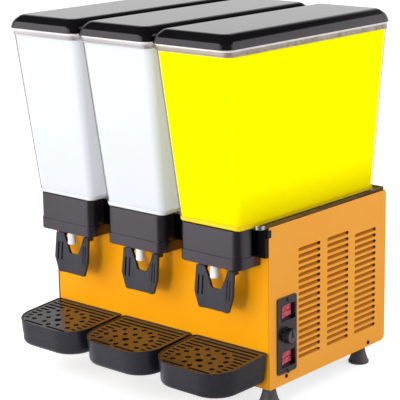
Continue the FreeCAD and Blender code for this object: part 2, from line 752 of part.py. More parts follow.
def bowl():
    """One clear bowl: tapering walls, beaded rim, well for the cooling tower and outlet spigot."""
    walls = Part.makeLoft([bowl_outline(BOWL_Z0, 0), bowl_outline(BOWL_Z1, 0)], True, True)
    band = slab(rim_outline(BOWL_Z1, -1), RIM_TOP - BOWL_Z1)
    low_bead = slab(rim_outline(BOWL_Z1, -RIM_BEAD), 3)
    high_bead = slab(rim_outline(RIM_TOP - 5, -RIM_BEAD), 5)
    floor_top = BOWL_Z0 + BOWL_FLOOR
    solid = walls.multiFuse([band, low_bead, high_bead])
    hollow = Part.makeLoft([bowl_outline(floor_top, BOWL_WALL), bowl_outline(BOWL_Z1, BOWL_WALL)], True, True)
    mouth = slab(rim_outline(BOWL_Z1, BOWL_WALL), RIM_TOP - BOWL_Z1 + 1)
    shell = solid.cut([hollow, mouth])
    collar = rod(0, WELL_Y, BOWL_Z0 + 1, AXIS_Z, WELL_TOP - BOWL_Z0 - 1, WELL_R + WELL_COLLAR)
    spigot = rod(0, OUTLET_Y, BOWL_Z0 - SPIGOT_DROP, AXIS_Z, SPIGOT_DROP + 1, SPIGOT_R)
    shell = shell.multiFuse([collar, spigot])
    well = rod(0, WELL_Y, BOWL_Z0 - 1, AXIS_Z, WELL_TOP - BOWL_Z0 + 2, WELL_R)
    bore = rod(0, OUTLET_Y, BOWL_Z0 - SPIGOT_DROP - 1, AXIS_Z, SPIGOT_DROP + BOWL_FLOOR + 2, SPIGOT_BORE_R)
    return shell.cut([well, bore])


def lid_outline(z, inset):
    """The lid's outline, drawn in by an inset."""
    corner = LID_R - inset / 2
    return rounded_outline(LID_HALF - inset, LID_FRONT + inset, LID_BACK - inset, z, corner, corner)


def lid_cap(z0, wall):
    """The lid's outer form above a height, or its hollow, a wall's thickness within it."""
    shoulder = lid_outline(LID_SHOULDER_Z - wall / 2, LID_SHOULDER_INSET + wall)
    top = lid_outline(LID_TOP - wall, LID_TOP_INSET + wall / 2)
    side = Part.makeLoft([lid_outline(z0, wall), shoulder], True, True)
    crown = Part.makeLoft([shoulder, top], True, True)
    return side.fuse(crown).removeSplitter()


def lid():
    """One lid: a shallow shouldered cap with a locating skirt that drops into the bowl's mouth."""
    cap = lid_cap(RIM_TOP, 0)
    cap = fillet_level(cap, LID_TOP_ROUND, LID_TOP)
    cap = fillet_level(cap, LID_SHOULDER_ROUND, LID_SHOULDER_Z)
    cap = cap.cut(lid_cap(RIM_TOP - 1, LID_WALL))
    gap = BOWL_WALL + LID_SKIRT_GAP
    skirt_height = RIM_TOP + LID_SEAT - LID_SKIRT_BOTTOM
    skirt = slab(rim_outline(LID_SKIRT_BOTTOM, gap), skirt_height)
    seat = slab(lid_outline(RIM_TOP, 1), LID_SEAT)
    throat = slab(rim_outline(LID_SKIRT_BOTTOM - 1, gap + LID_SKIRT_WALL), skirt_height + 2)
    return cap.multiFuse([skirt.cut(throat), seat.cut(throat)])


# Drip trays

def tray_outline(z, inset):
    """The tray's outline, drawn in by an inset: straight at the back, widely rounded in front."""
    back_r = max(TRAY_BACK_R - inset, 0.5)
    front_r = TRAY_FRONT_R - inset
    return rounded_outline(TRAY_HALF - inset, TRAY_FRONT + inset, TRAY_BACK - inset, z, front_r, back_r)


def rim_layer(top, bottom):
    """The slanting layer between two depths below the tray's sloping rim."""
    reach = TRAY_HALF + 10
    corners = []
    for y, depth in ((TRAY_FRONT - 10, top), (10, top), (10, bottom), (TRAY_FRONT - 10, bottom)):
        corners.append((-reach, y, TRAY_BACK_Z + (y - TRAY_BACK) * TRAY_SLOPE - depth))
    return polygon(corners).extrude(V(2 * reach, 0, 0))


def drip_tray():
    """One drip tray with a proud band, a sloping rim, a ledge for the grid and two tongues at the back."""
    lower = slab(tray_outline(TRAY_Z0, TRAY_STEP), TRAY_BAND_Z - TRAY_Z0 + 1)
    lower = fillet_level(lower, TRAY_BOTTOM_R, TRAY_Z0)
    band_ends = [tray_outline(TRAY_BAND_Z, TRAY_TAPER), tray_outline(TRAY_BACK_Z, 0)]
    band = Part.makeLoft(band_ends, True, True).common(rim_layer(0, 60))
    deep = TRAY_STEP + TRAY_WALL
    seat = GRID_DROP + GRID_THICK
    band_inset = TRAY_TAPER + TRAY_WALL - 0.5
    inside = slab(tray_outline(TRAY_Z0 + TRAY_WALL, deep), TRAY_BACK_Z)
    inside = fillet_level(inside, TRAY_BOTTOM_R - TRAY_WALL, TRAY_Z0 + TRAY_WALL)
    pocket = slab(tray_outline(TRAY_Z0, TRAY_RIM), TRAY_BACK_Z).common(rim_layer(-10, seat))
    undercut = slab(tray_outline(TRAY_BAND_Z + TRAY_WALL, band_inset), TRAY_BACK_Z - TRAY_BAND_Z)
    undercut = undercut.common(rim_layer(seat + TRAY_WALL, 60))
    tray = lower.fuse(band).cut([inside, pocket, undercut])
    tongues = []
    for side in (-1, 1):
        x = side * TONGUE_X
        z1 = TONGUE_Z0 + TONGUE_THICK
        tongues.append(block(x - TONGUE_HALF, x + TONGUE_HALF, TRAY_BACK - 3, TONGUE_LENGTH, TONGUE_Z0, z1))
    return tray.multiFuse(tongues)


def grid_slot(x0, x1, y):
    """One drain slot across the grid."""
    half = GRID_SLOT_HALF
    body = block(x0 + half, x1 - half, y - half, y + half, TRAY_Z0, TRAY_BACK_Z)
    ends = [rod(x, y, TRAY_Z0, AXIS_Z, TRAY_BACK_Z - TRAY_Z0, half) for x in (x0 + half, x1 - half)]
    return body.multiFuse(ends).removeSplitter()


def grid_diamond(distance, angle):
    """One diamond-shaped drain hole of the rosette."""
    turn = math.radians(angle)
    out = V(math.cos(turn), math.sin(turn), 0)
    side = V(-math.sin(turn), math.cos(turn), 0)
    centre = V(0, ROSETTE_Y, TRAY_Z0) + out * distance
    radial, across = ROSETTE_HOLE
    reach = out * radial / 2
    width = side * across / 2
    corners = [centre + reach, centre + width, centre - reach, centre - width]
    hole = Part.Face(Part.makePolygon(corners + [corners[0]])).extrude(V(0, 0, TRAY_BACK_Z - TRAY_Z0))
    upright = [e for e in hole.Edges if abs(e.tangentAt(e.FirstParameter).z) > 0.9]
    return hole.makeFillet(1.5, upright)


def grid_reach(y):
    """How far a slot may run to either side at a place along the grid."""
    bend = TRAY_FRONT + TRAY_FRONT_R
    side = TRAY_HALF - TRAY_RIM
    if y < bend:
        radius = TRAY_FRONT_R - TRAY_RIM
        side += math.sqrt(radius ** 2 - (bend - y) ** 2) - radius
    return side - GRID_MARGIN


def drip_grid():
    """One lift-out grid: rows of slots around a rosette of diamond holes."""
    plate = slab(tray_outline(TRAY_Z0, TRAY_RIM + GRID_GAP), TRAY_BACK_Z)
    plate = plate.common(rim_layer(GRID_DROP, GRID_DROP + GRID_THICK))
    holes = [rod(0, ROSETTE_Y, TRAY_Z0, AXIS_Z, 60, ROSETTE_CENTRE_R)]
    for distance, count, step, first in ROSETTE_RINGS:
        for i in range(count):
            holes.append(grid_diamond(distance, first + i * step))
    for row in range(GRID_ROWS):
        y = GRID_ROW_Y - row * GRID_ROW_STEP
        reach = grid_reach(y)
        aside = abs(y - ROSETTE_Y)
        if aside >= ROSETTE_CLEAR_R:
            holes.append(grid_slot(-reach, reach, y))
        else:
            start = math.sqrt(ROSETTE_CLEAR_R ** 2 - aside ** 2)
            if reach - start > 9:
                holes.append(grid_slot(start, reach, y))
                holes.append(grid_slot(-reach, -start, y))
    front = grid_reach(GRID_FRONT_SLOT_Y)
    holes.append(grid_slot(-front, -5, GRID_FRONT_SLOT_Y))
    holes.append(grid_slot(5, front, GRID_FRONT_SLOT_Y))
    return plate.cut(holes)


# Cooling towers, stirrers and their drives

def tower():
    """One stainless cooling tower: a domed can with a flange below the deck and a paddle pin on top."""
    z0 = CABINET_TOP - 2 * SHEET - 0.3
    outer = fillet_level(rod(0, WELL_Y, z0, AXIS_Z, TOWER_TOP - z0, TOWER_R), TOWER_ROUND, TOWER_TOP)
    inner_top = TOWER_TOP - TOWER_WALL
    inner = rod(0, WELL_Y, z0 - 1, AXIS_Z, inner_top - z0 + 1, TOWER_R - TOWER_WALL)
    inner = fillet_level(inner, TOWER_ROUND - TOWER_WALL, inner_top)
    flange = rod(0, WELL_Y, z0, AXIS_Z, CABINET_TOP - SHEET - z0, TOWER_FLANGE_R)
    pin = rod(0, WELL_Y, TOWER_TOP - 1, AXIS_Z, PADDLE_PIN_TOP - TOWER_TOP + 1, PADDLE_PIN_R)
    return fuse_all([outer, flange, pin]).cut(inner)


def bowl_gasket():
    """The rubber ring that seals one bowl's well to its tower."""
    foot = ring(0, WELL_Y, CABINET_TOP, AXIS_Z, BOWL_Z0 - CABINET_TOP, WELL_R + 6, TOWER_R)
    lip = ring(0, WELL_Y, CABINET_TOP, AXIS_Z, 13, WELL_R - 0.1, TOWER_R)
    return foot.fuse(lip).removeSplitter()


def drive_motor():
    """One geared motor hung under a tower on a bridge plate."""
    plate_top = CABINET_TOP - 2 * SHEET - 0.3
    plate_z = plate_top - 2
    motor_top = 330.0
    body = rod(0, WELL_Y, 290, AXIS_Z, motor_top - 290, 30)
    plate = block(-57, 57, WELL_Y - 15, WELL_Y + 15, plate_z, plate_top)
    posts = [rod(x, WELL_Y, motor_top - 1, AXIS_Z, plate_z - motor_top + 1, 4) for x in (-20, 20)]
    boss = rod(0, WELL_Y, motor_top - 1, AXIS_Z, 5, 9)
    whole = fuse_all([body, plate, boss] + posts)
    return whole.cut(rod(0, WELL_Y, 316, AXIS_Z, 40, STUD_R + RUNNING_GAP))


def drive_magnet():
    """The shaft and magnet yoke that turn one paddle through the tower's top."""
    shaft = rod(0, WELL_Y, 318, AXIS_Z, 165, STUD_R)
    yoke = rod(0, WELL_Y, 480, AXIS_Z, 8, 34)
    magnets = []
    for x, y in ((1, 0), (-1, 0), (0, 1), (0, -1)):
        magnets.append(rod(22 * x, WELL_Y + 22 * y, 487, AXIS_Z, 6, 8))
    return fuse_all([shaft, yoke] + magnets)


def paddle():
    """One stirring paddle: a magnet disc with four vanes on a hub."""
    z0 = TOWER_TOP + 0.3
    hub = rod(0, WELL_Y, z0, AXIS_Z, 26, 9)
    disc = rod(0, WELL_Y, z0, AXIS_Z, 8, 36)
    vanes = []
    for i in range(4):
        vane = block(5, 44, WELL_Y - 1.5, WELL_Y + 1.5, z0 + 4, z0 + 22)
        vane.rotate(V(0, WELL_Y, 0), AXIS_Z, 90 * i)
        vanes.append(vane)
    whole = fuse_all([hub, disc] + vanes)
    bore = rod(0, WELL_Y, z0 - 1, AXIS_Z, PADDLE_PIN_TOP - z0 + 2, PADDLE_PIN_R + RUNNING_GAP)
    return whole.cut(bore)


# Refrigeration

def compressor_feet():
    """Where the compressor's feet stand."""
    x, y = COMPRESSOR
    return [(x + sx * 82, y + sy * 58) for sx in (-1, 1) for sy in (-1, 1)]


def compressor():
    """The hermetic compressor: domed can, weld seam, foot plate and relay box."""
    x, y = COMPRESSOR
    can = rod(x, y, 60, AXIS_Z, 150, COMPRESSOR_R)
    can = fillet_level(can, 28, 210)
    seam = rod(x, y, 118, AXIS_Z, 4, COMPRESSOR_R + 3)
    plate = block(x - 92, x + 92, y - 68, y + 68, 58, 61)
    relay = block(x - 22, x + 22, y - COMPRESSOR_R - 22, y - COMPRESSOR_R + 8, 130, 175)
    holes = [rod(px, py, 50, AXIS_Z, 20, 4.3) for px, py in compressor_feet()]
    return fuse_all([can, seam, plate, relay]).cut(holes)


def compressor_grommets():
    """Four rubber mounts under the compressor's foot plate."""
    floor = CABINET_BOTTOM + 1.5
    return Part.makeCompound([ring(x, y, floor, AXIS_Z, 58 - floor, 12, 4.3) for x, y in compressor_feet()])


def condenser_row(index):
    """Height of one row of condenser tubes."""
    return CONDENSER_ROW_Z + index * CONDENSER_ROW_STEP


def condenser():
    """The finned coil behind the right louvres."""
    tube_r = 4.0
    x0, x1 = CONDENSER_X
    y0, y1 = CONDENSER_Y
    z0, z1 = CONDENSER_Z
    places = [(x, condenser_row(i)) for x in CONDENSER_TUBES_X for i in range(CONDENSER_ROWS)]
    fin = block(x0, x1, y0, y0 + 0.6, z0, z1).cut([rod(x, y0 - 1, z, AXIS_Y, 3, tube_r) for x, z in places])
    end = block(x0, x1, y0 - 1.5, y0, z0, z1).cut([rod(x, y0 - 3, z, AXIS_Y, 5, tube_r) for x, z in places])
    solids = [end]
    far_end = end.copy()
    far_end.translate(V(0, y1 - y0 + 1.5, 0))
    solids.append(far_end)
    step = (y1 - y0) / CONDENSER_FINS
    for i in range(CONDENSER_FINS):
        copy = fin.copy()
        copy.translate(V(0, step * (i + 0.5), 0))
        solids.append(copy)
    near, far = y0 - 4, y1 + 4
    for x, z in places:
        solids.append(rod(x, near, z, AXIS_Y, far - near, tube_r))
    for x in CONDENSER_TUBES_X:
        for i in range(CONDENSER_ROWS - 1):
            low = condenser_row(i)
            bend_y = near if i % 2 == 0 else far
            solids.append(return_bend(x, bend_y, low, tube_r, -1 if i % 2 == 0 else 1))
    return Part.makeCompound(solids)


def return_bend(x, y, z, tube_r, side):
    """A half-circle bend that joins two condenser tubes, one above the other."""
    radius = CONDENSER_ROW_STEP / 2
    section = Part.Face(Part.Wire(Part.makeCircle(tube_r, V(x, y, z), AXIS_Y)))
    return section.revolve(V(x, y, z + radius), AXIS_X, -180 * side)


def fan_shroud():
    """The sheet box that leads air from the condenser to the fan."""
    y0, y1 = CONDENSER_Y[0] - 6, CONDENSER_Y[1] + 6
    z0, z1 = CONDENSER_Z[0] - 2, CONDENSER_Z[1] + 2
    x0, x1 = SHROUD_X, CONDENSER_X[0] - 0.2
    box = block(x0, x1, y0, y1, z0, z1)
    box = box.cut(block(x0 + SHEET, x1 + 1, y0 + SHEET, y1 - SHEET, z0 + SHEET, z1 - SHEET))
    return box.cut(rod(x0 - 1, FAN_Y, FAN_Z, AXIS_X, 5, FAN_R + 5))


def fan_motor():
    """The fan motor on four arms in front of the shroud."""
    body = fillet_near(rod(130, FAN_Y, FAN_Z, AXIS_X, 46, 36), 6, [(130, FAN_Y, FAN_Z)])
    pieces = [body]
    for i in range(4):
        arm = block(174, 177, FAN_Y - 5, FAN_Y + 5, FAN_Z + 30, FAN_Z + 92)
        leg = block(174, SHROUD_X, FAN_Y - 5, FAN_Y + 5, FAN_Z + 89, FAN_Z + 92)
        for bar in (arm, leg):
            bar.rotate(V(0, FAN_Y, FAN_Z), AXIS_X, 45 + 90 * i)
            pieces.append(bar)
    whole = fuse_all(pieces)
    return whole.cut(rod(160, FAN_Y, FAN_Z, AXIS_X, 30, SPINDLE_R + RUNNING_GAP))


def fan_blade():
    """The fan: shaft, hub and five pitched blades."""
    shaft = rod(162, FAN_Y, FAN_Z, AXIS_X, 40, SPINDLE_R)
    hub = rod(182, FAN_Y, FAN_Z, AXIS_X, 20, 18)
    blades = []
    for i in range(5):
        blade = block(191.2, 192.8, FAN_Y - 20, FAN_Y + 20, FAN_Z + 12, FAN_Z + FAN_R)
        blade.rotate(V(192, FAN_Y, FAN_Z), AXIS_Z, 22)
        blade.rotate(V(0, FAN_Y, FAN_Z), AXIS_X, 72 * i)
        blades.append(blade)
    swept = rod(178, FAN_Y, FAN_Z, AXIS_X, 27, FAN_R)
    blades = [blade.common(swept) for blade in blades]
    return fuse_all([shaft, hub] + blades)


def filter_drier():
    """The copper filter drier in the liquid line."""
    x, y = DRIER
    low, high = DRIER_Z
    can = rod(x, y, low, AXIS_Z, high - low, 10)
    return fillet_level(fillet_level(can, 6, high), 6, low)


def tower_coil(x):
    """The evaporator coil inside one tower: stacked rings between a feed riser and a return riser."""
    coil_r = 43.0
    rings = [Part.makeTorus(coil_r, 4, V(x, WELL_Y, 365 + 20 * i), AXIS_Z) for i in range(5)]
    feed = rod(x, WELL_Y + coil_r, 326, AXIS_Z, 119, 3)
    back = rod(x, WELL_Y - coil_r, 326, AXIS_Z, 119, 3)
    return fuse_all(rings + [feed, back])


def refrigerant_lines():
    """All the copper lines between compressor, condenser, drier and towers."""
    line_r = 3.0
    bend = 10.0
    end_y = CONDENSER_Y[1] + 4
    top_z = condenser_row(CONDENSER_ROWS - 1)
    x, y = COMPRESSOR
    far_x = CONDENSER_TUBES_X[1]
    near_x = CONDENSER_TUBES_X[0]
    discharge = pipe([(x + 20, y + COMPRESSOR_R - 8, 150), (x + 20, 340, 150), (x + 20, 340, top_z),
                      (near_x, 340, top_z), (near_x, end_y, top_z)], line_r, bend)
    liquid = pipe([(far_x, end_y, top_z), (far_x, 327, top_z), (far_x, 327, 300),
                   (DRIER[0], 327, 300), (DRIER[0], 327, 240), (DRIER[0], DRIER[1], 225),
                   (DRIER[0], DRIER[1], DRIER_Z[1])], line_r, 6.0)
    header_z = 326.0
    feed_y = WELL_Y + 43.0
    return_y = WELL_Y - 43.0
    capillary = pipe([(DRIER[0], DRIER[1], DRIER_Z[0]), (DRIER[0], DRIER[1], 90), (100, DRIER[1], 90),
                      (100, DRIER[1], header_z), (100, feed_y, header_z)], 1.5, bend)
    feed = rod(-PITCH, feed_y, header_z, AXIS_X, 2 * PITCH, line_r)
    back = rod(-PITCH, return_y, header_z, AXIS_X, 2 * PITCH, line_r)
    suction_run = [(x, return_y, header_z), (x, return_y, 240), (x, y - 50, 240), (x, y - 50, 195)]
    suction = pipe(suction_run, 4.0, bend)
    towers = fuse_all([tower_coil(unit) for unit in UNIT_X] + [feed, back, suction, capillary])
    can = rod(x, y, 60, AXIS_Z, 150, COMPRESSOR_R)
    can = fillet_level(can, 28, 210)
    return Part.makeCompound([discharge.cut(can), liquid, towers.cut(can)])


# Electrics

def control_plate():
    """The moulded plate on the right side, with two deep pockets for the switches."""
    plate = block(CABINET_HALF, PLATE_FACE, PLATE_Y0, PLATE_Y1, PLATE_Z0, PLATE_Z1)
    middle = CABINET_HALF + PLATE_THICK / 2
    corners = [(middle, y, z) for y in (PLATE_Y0, PLATE_Y1) for z in (PLATE_Z0, PLATE_Z1)]
    plate = fillet_near(plate, 5, corners)
    w = POCKET_WALL
    boxes = []
    cuts = []
    for z in POCKET_Z:
        z0, z1 = z - POCKET_HEIGHT / 2, z + POCKET_HEIGHT / 2
        boxes.append(block(SWITCH_FACE - 4, CABINET_HALF, POCKET_Y0 - w, POCKET_Y1 + w, z0 - w, z1 + w))
        cuts.append(block(SWITCH_FACE - 5, PLATE_FACE + 1, POCKET_Y0, POCKET_Y1, z0, z1))
    cuts.append(rod(CABINET_HALF - 1, KNOB_Y, KNOB_Z, AXIS_X, 5, SPINDLE_R + 0.6))
    return drill(fuse_all([plate] + boxes).cut(cuts), plate_screws())


def rocker_places():
    """Centre heights of the four rockers, from the bottom up."""
    return [z + side * ROCKER_OFFSET for z in POCKET_Z for side in (-1, 1)]


def switch_bodies():
    """The two twin switch bodies, each with the pin that its rockers turn on."""
    solids = []
    for z in POCKET_Z:
        half = POCKET_HEIGHT / 2 - 0.1
        y0, y1 = POCKET_Y0 + 0.1, POCKET_Y1 - 0.1
        body = block(240, SWITCH_FACE, y0, y1, z - half, z + half)
        tall = ROCKER_HEIGHT / 2 + 0.3
        reach = ROCKER_HALF + 0.6
        wells = []
        for side in (-1, 1):
            zc = z + side * ROCKER_OFFSET
            y0 = ROCKER_Y - reach
            y1 = ROCKER_Y + reach
            wells.append(block(252, SWITCH_FACE + 1, y0, y1, zc - tall, zc + tall))
        pin = rod(ROCKER_PIVOT_X, ROCKER_Y, z - half + 1, AXIS_Z, 2 * half - 2, 1.5)
        solids.append(body.cut(wells).fuse(pin))
    return Part.makeCompound(solids)


def rocker(z):
    """One dished rocker key, tilted to its rest side, on its pin."""
    x, y, z0 = ROCKER_PIVOT_X, ROCKER_Y, z - ROCKER_HEIGHT / 2
    key = polygon([
        (x + 4.5, y - ROCKER_HALF, z0),
        (x + 2.8, y, z0),
        (x + 4.5, y + ROCKER_HALF, z0),
        (x - 3.0, y + ROCKER_HALF - 1.7, z0),
        (x - 3.0, y - ROCKER_HALF + 1.7, z0),
    ]).extrude(V(0, 0, ROCKER_HEIGHT))
    key.rotate(V(x, y, 0), AXIS_Z, ROCKER_TILT)
    return key.cut(rod(x, y, z0 - 1, AXIS_Z, ROCKER_HEIGHT + 2, 1.5 + RUNNING_GAP))


def thermostat_body():
    """The thermostat behind the control plate."""
    body = block(238, CABINET_HALF, KNOB_Y - 14, KNOB_Y + 14, KNOB_Z - 16, KNOB_Z + 16)
    return body.cut(rod(250, KNOB_Y, KNOB_Z, AXIS_X, 30, SPINDLE_R + RUNNING_GAP))


def thermostat_knob():
    """The round temperature knob with its spindle and pointer rib."""
    x0 = PLATE_FACE + LOOSE
    profile = polygon([
        (x0, KNOB_Y, KNOB_Z),
        (x0, KNOB_Y + KNOB_R, KNOB_Z),
        (x0 + 2.5, KNOB_Y + KNOB_R, KNOB_Z),
        (x0 + 3.5, KNOB_Y + KNOB_R - 1.8, KNOB_Z),
        (x0 + KNOB_HEIGHT - 2, KNOB_Y + KNOB_R - 3, KNOB_Z),
        (x0 + KNOB_HEIGHT - 1, KNOB_Y + KNOB_R - 4, KNOB_Z),
        (x0 + KNOB_HEIGHT - 1, KNOB_Y, KNOB_Z),
    ])
    turned = profile.revolve(V(0, KNOB_Y, KNOB_Z), AXIS_X, 360)
    flutes = []
    for i in range(18):
        flute = rod(x0 + 3.5, KNOB_Y, KNOB_Z + KNOB_R - 1.2, AXIS_X, KNOB_HEIGHT, 1.2)
        flute.rotate(V(0, KNOB_Y, KNOB_Z), AXIS_X, 20 * i)
        flutes.append(flute)
    turned = turned.cut(flutes)
    x1 = x0 + KNOB_HEIGHT
    pointer = block(x1 - 2, x1, KNOB_Y - 1, KNOB_Y + 1, KNOB_Z + 2, KNOB_Z + KNOB_R - 5)
    spindle = rod(252, KNOB_Y, KNOB_Z, AXIS_X, x0 + 8 - 252, SPINDLE_R)
    return fuse_all([turned, pointer, spindle])


def cable_gland():
    """The gland in the rear panel, open for a supply cord."""
    outside = CABINET_DEPTH + LOOSE
    body = rod(GLAND_X, 344, GLAND_Z, AXIS_Y, GLAND_END - 344, 9)
    flange = rod(GLAND_X, outside, GLAND_Z, AXIS_Y, 3, 14)
    nut = hexagon(12, outside + 3, 8)
    lock = hexagon(12, CABINET_DEPTH - SHEET + LOOSE - 5, 5)
    whole = fuse_all([body, flange, nut, lock])
    return whole.cut(rod(GLAND_X, 340, GLAND_Z, AXIS_Y, 50, GLAND_BORE_R))


def hexagon(radius, y, length):
    """A six-sided nut about the gland's axis."""
    corners = []
    for i in range(6):
        turn = math.radians(60 * i)
        corners.append((GLAND_X + radius * math.cos(turn), y, GLAND_Z + radius * math.sin(turn)))
    return polygon(corners).extrude(V(0, length, 0))


def wiring_loom():
    """The sleeved wiring from the terminal block to the motors, switches and compressor."""
    y_back = 350.0
    block_x = -180.0
    terminal = block(block_x - 40, block_x, 338, CABINET_DEPTH - SHEET + LOOSE, 105, 135)
    trunk = pipe([(block_x - 1, y_back, 120), (-30, y_back, 120), (-30, y_back, 62), (-30, 40, 62),
                  (225, 40, 62), (225, 40, KNOB_Z), (238, 40, KNOB_Z)], 4.0, 10.0)
    riser = pipe([(-30, 60, 62), (-30, 60, 300), (PITCH, 60, 300), (PITCH, WELL_Y - 29, 300)], 3.0, 10.0)
    drops = [rod(0, 60, 300, AXIS_Y, WELL_Y - 30 - 60, 3)]
    drops.append(pipe([(-20, 60, 300), (-PITCH, 60, 300), (-PITCH, WELL_Y - 30, 300)], 3.0, 10.0))
    loom = fuse_all([terminal, trunk, riser] + drops)
    motors = [rod(x, WELL_Y, 290, AXIS_Z, 40, 30) for x in UNIT_X]
    return loom.cut(motors)


def place(shape, x):
    """A copy of a unit's piece moved to that unit."""
    copy = shape.copy()
    copy.translate(V(x, 0, 0))
    return copy


def per_unit(shape):
    """One piece repeated for the three units, as a group of separate solids."""
    return Part.makeCompound([place(shape, x) for x in UNIT_X])


def save_each(name, shape):
    """One piece repeated for the three units, as three named nodes."""
    for number, x in enumerate(UNIT_X, start=1):
        save(f"{name}_{number}", place(shape, x))


def main():
    """Build and save every piece."""
    os.makedirs("parts", exist_ok=True)
    save("base_pan", base_pan())
    save("front_panel", front_panel())
    left, right = side_panels()
    save("left_side_panel", left)
    save("right_side_panel", right)
    save("rear_panel", rear_panel())
    save("top_deck", top_deck())
    save("feet", feet())
    save("screws", screws())
    save("head_bracket", head_bracket())
    save("tap_housings", per_unit(tap_housing()))
    save("tap_skirts", per_unit(tap_skirt()))
    save("lever_pivot_pins", per_unit(lever_pin()))
    save("evaporators", per_unit(tower()))
    save("bowl_gaskets", per_unit(bowl_gasket()))
    save("drive_motors", per_unit(drive_motor()))
    save("compressor", compressor())
    save("compressor_grommets", compressor_grommets())
    save("condenser", condenser())
    save("fan_shroud", fan_shroud())
    save("fan_motor", fan_motor())
    save("fan_blade", fan_blade())
    save("filter_drier", filter_drier())
    save("refrigerant_lines", refrigerant_lines())
    save("control_plate", control_plate())
    save("switch_bodies", switch_bodies())
    save("thermostat_body", thermostat_body())
    save("thermostat_knob", thermostat_knob())
    save("cable_gland", cable_gland())
    save("wiring_loom", wiring_loom())
    save_each("lever", lever())
    save_each("lever_spring", lever_spring())
    save_each("dispense_tube", dispense_tube())
    save_each("bowl", bowl())
    save_each("lid", lid())
    save_each("drip_tray", drip_tray())
    save_each("drip_grid", drip_grid())
    save_each("drive_magnet", drive_magnet())
    save_each("stirring_paddle", paddle())
    for number, z in enumerate(rocker_places(), start=1):
        save(f"rocker_{number}", rocker(z))


main()
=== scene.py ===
"""Looks of the cold drink dispenser: finishes, drinks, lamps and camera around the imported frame."""

import logging
import math
from dataclasses import dataclass, field, replace
from enum import Enum

import bmesh
import bpy
from mathutils import Matrix, Vector


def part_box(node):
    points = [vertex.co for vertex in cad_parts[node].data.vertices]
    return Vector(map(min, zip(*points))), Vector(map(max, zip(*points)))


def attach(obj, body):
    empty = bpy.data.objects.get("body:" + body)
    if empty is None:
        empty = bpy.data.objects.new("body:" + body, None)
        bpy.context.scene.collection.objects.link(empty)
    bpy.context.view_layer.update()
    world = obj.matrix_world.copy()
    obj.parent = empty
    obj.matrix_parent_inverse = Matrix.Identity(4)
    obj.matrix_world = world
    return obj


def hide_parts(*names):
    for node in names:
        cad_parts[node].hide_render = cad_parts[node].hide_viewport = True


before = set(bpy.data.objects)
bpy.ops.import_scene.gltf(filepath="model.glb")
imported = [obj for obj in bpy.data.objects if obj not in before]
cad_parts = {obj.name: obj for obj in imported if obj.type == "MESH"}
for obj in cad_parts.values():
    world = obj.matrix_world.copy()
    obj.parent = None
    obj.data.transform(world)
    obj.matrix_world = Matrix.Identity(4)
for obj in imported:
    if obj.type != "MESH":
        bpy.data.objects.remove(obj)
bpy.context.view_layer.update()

log = logging.getLogger("dispenser")
Colour = tuple[float, float, float]
Spot = tuple[float, float, float]
Corner = tuple[float, float, float]
Ring = list[Vector]
Socket = bpy.types.NodeSocket
Value = float | tuple[float, ...] | Socket
MM = 0.001
UNITS = (1, 2, 3)
PITCH = 180.0
# The part of a noise's range that most of its values lie in.
NOISE_SPAN = (0.3, 0.7)
# About how many waves a wave texture lays in its unit of length.
WAVES_IN_UNIT = 3


def front_origin() -> Vector:
    """Find the row-frame point on the floor below the middle of the cabinet's front panel.

    Returns:
        The point, in metres: the script's own millimetres are counted from it.
    """
    left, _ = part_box("left_side_panel")
    _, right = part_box("right_side_panel")
    low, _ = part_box("front_panel")
    return Vector(((left.x + right.x) / 2, low.y, 0.0))


ORIGIN = front_origin()


def at(x: float, y: float, z: float) -> Vector:
    """Turn millimetres from the front panel's foot into a row-frame point in metres."""
    return Vector((x * MM, y * MM, z * MM)) + ORIGIN


def unit_x(unit: int) -> float:
    """Give the middle of a unit across the front, in millimetres."""
    return (unit - 2) * PITCH


class Grain(Enum):
    """How the small relief of a surface runs."""

    EVEN = "even"
    ALONG_X = "along_x"
    ALONG_Z = "along_z"
    CELLS = "cells"
    BRAID = "braid"


UNSTRETCHED = (1.0, 1.0, 1.0)
GRAIN_STRETCH = {Grain.ALONG_X: (0.02, 1.0, 1.0), Grain.ALONG_Z: (1.0, 1.0, 0.02)}


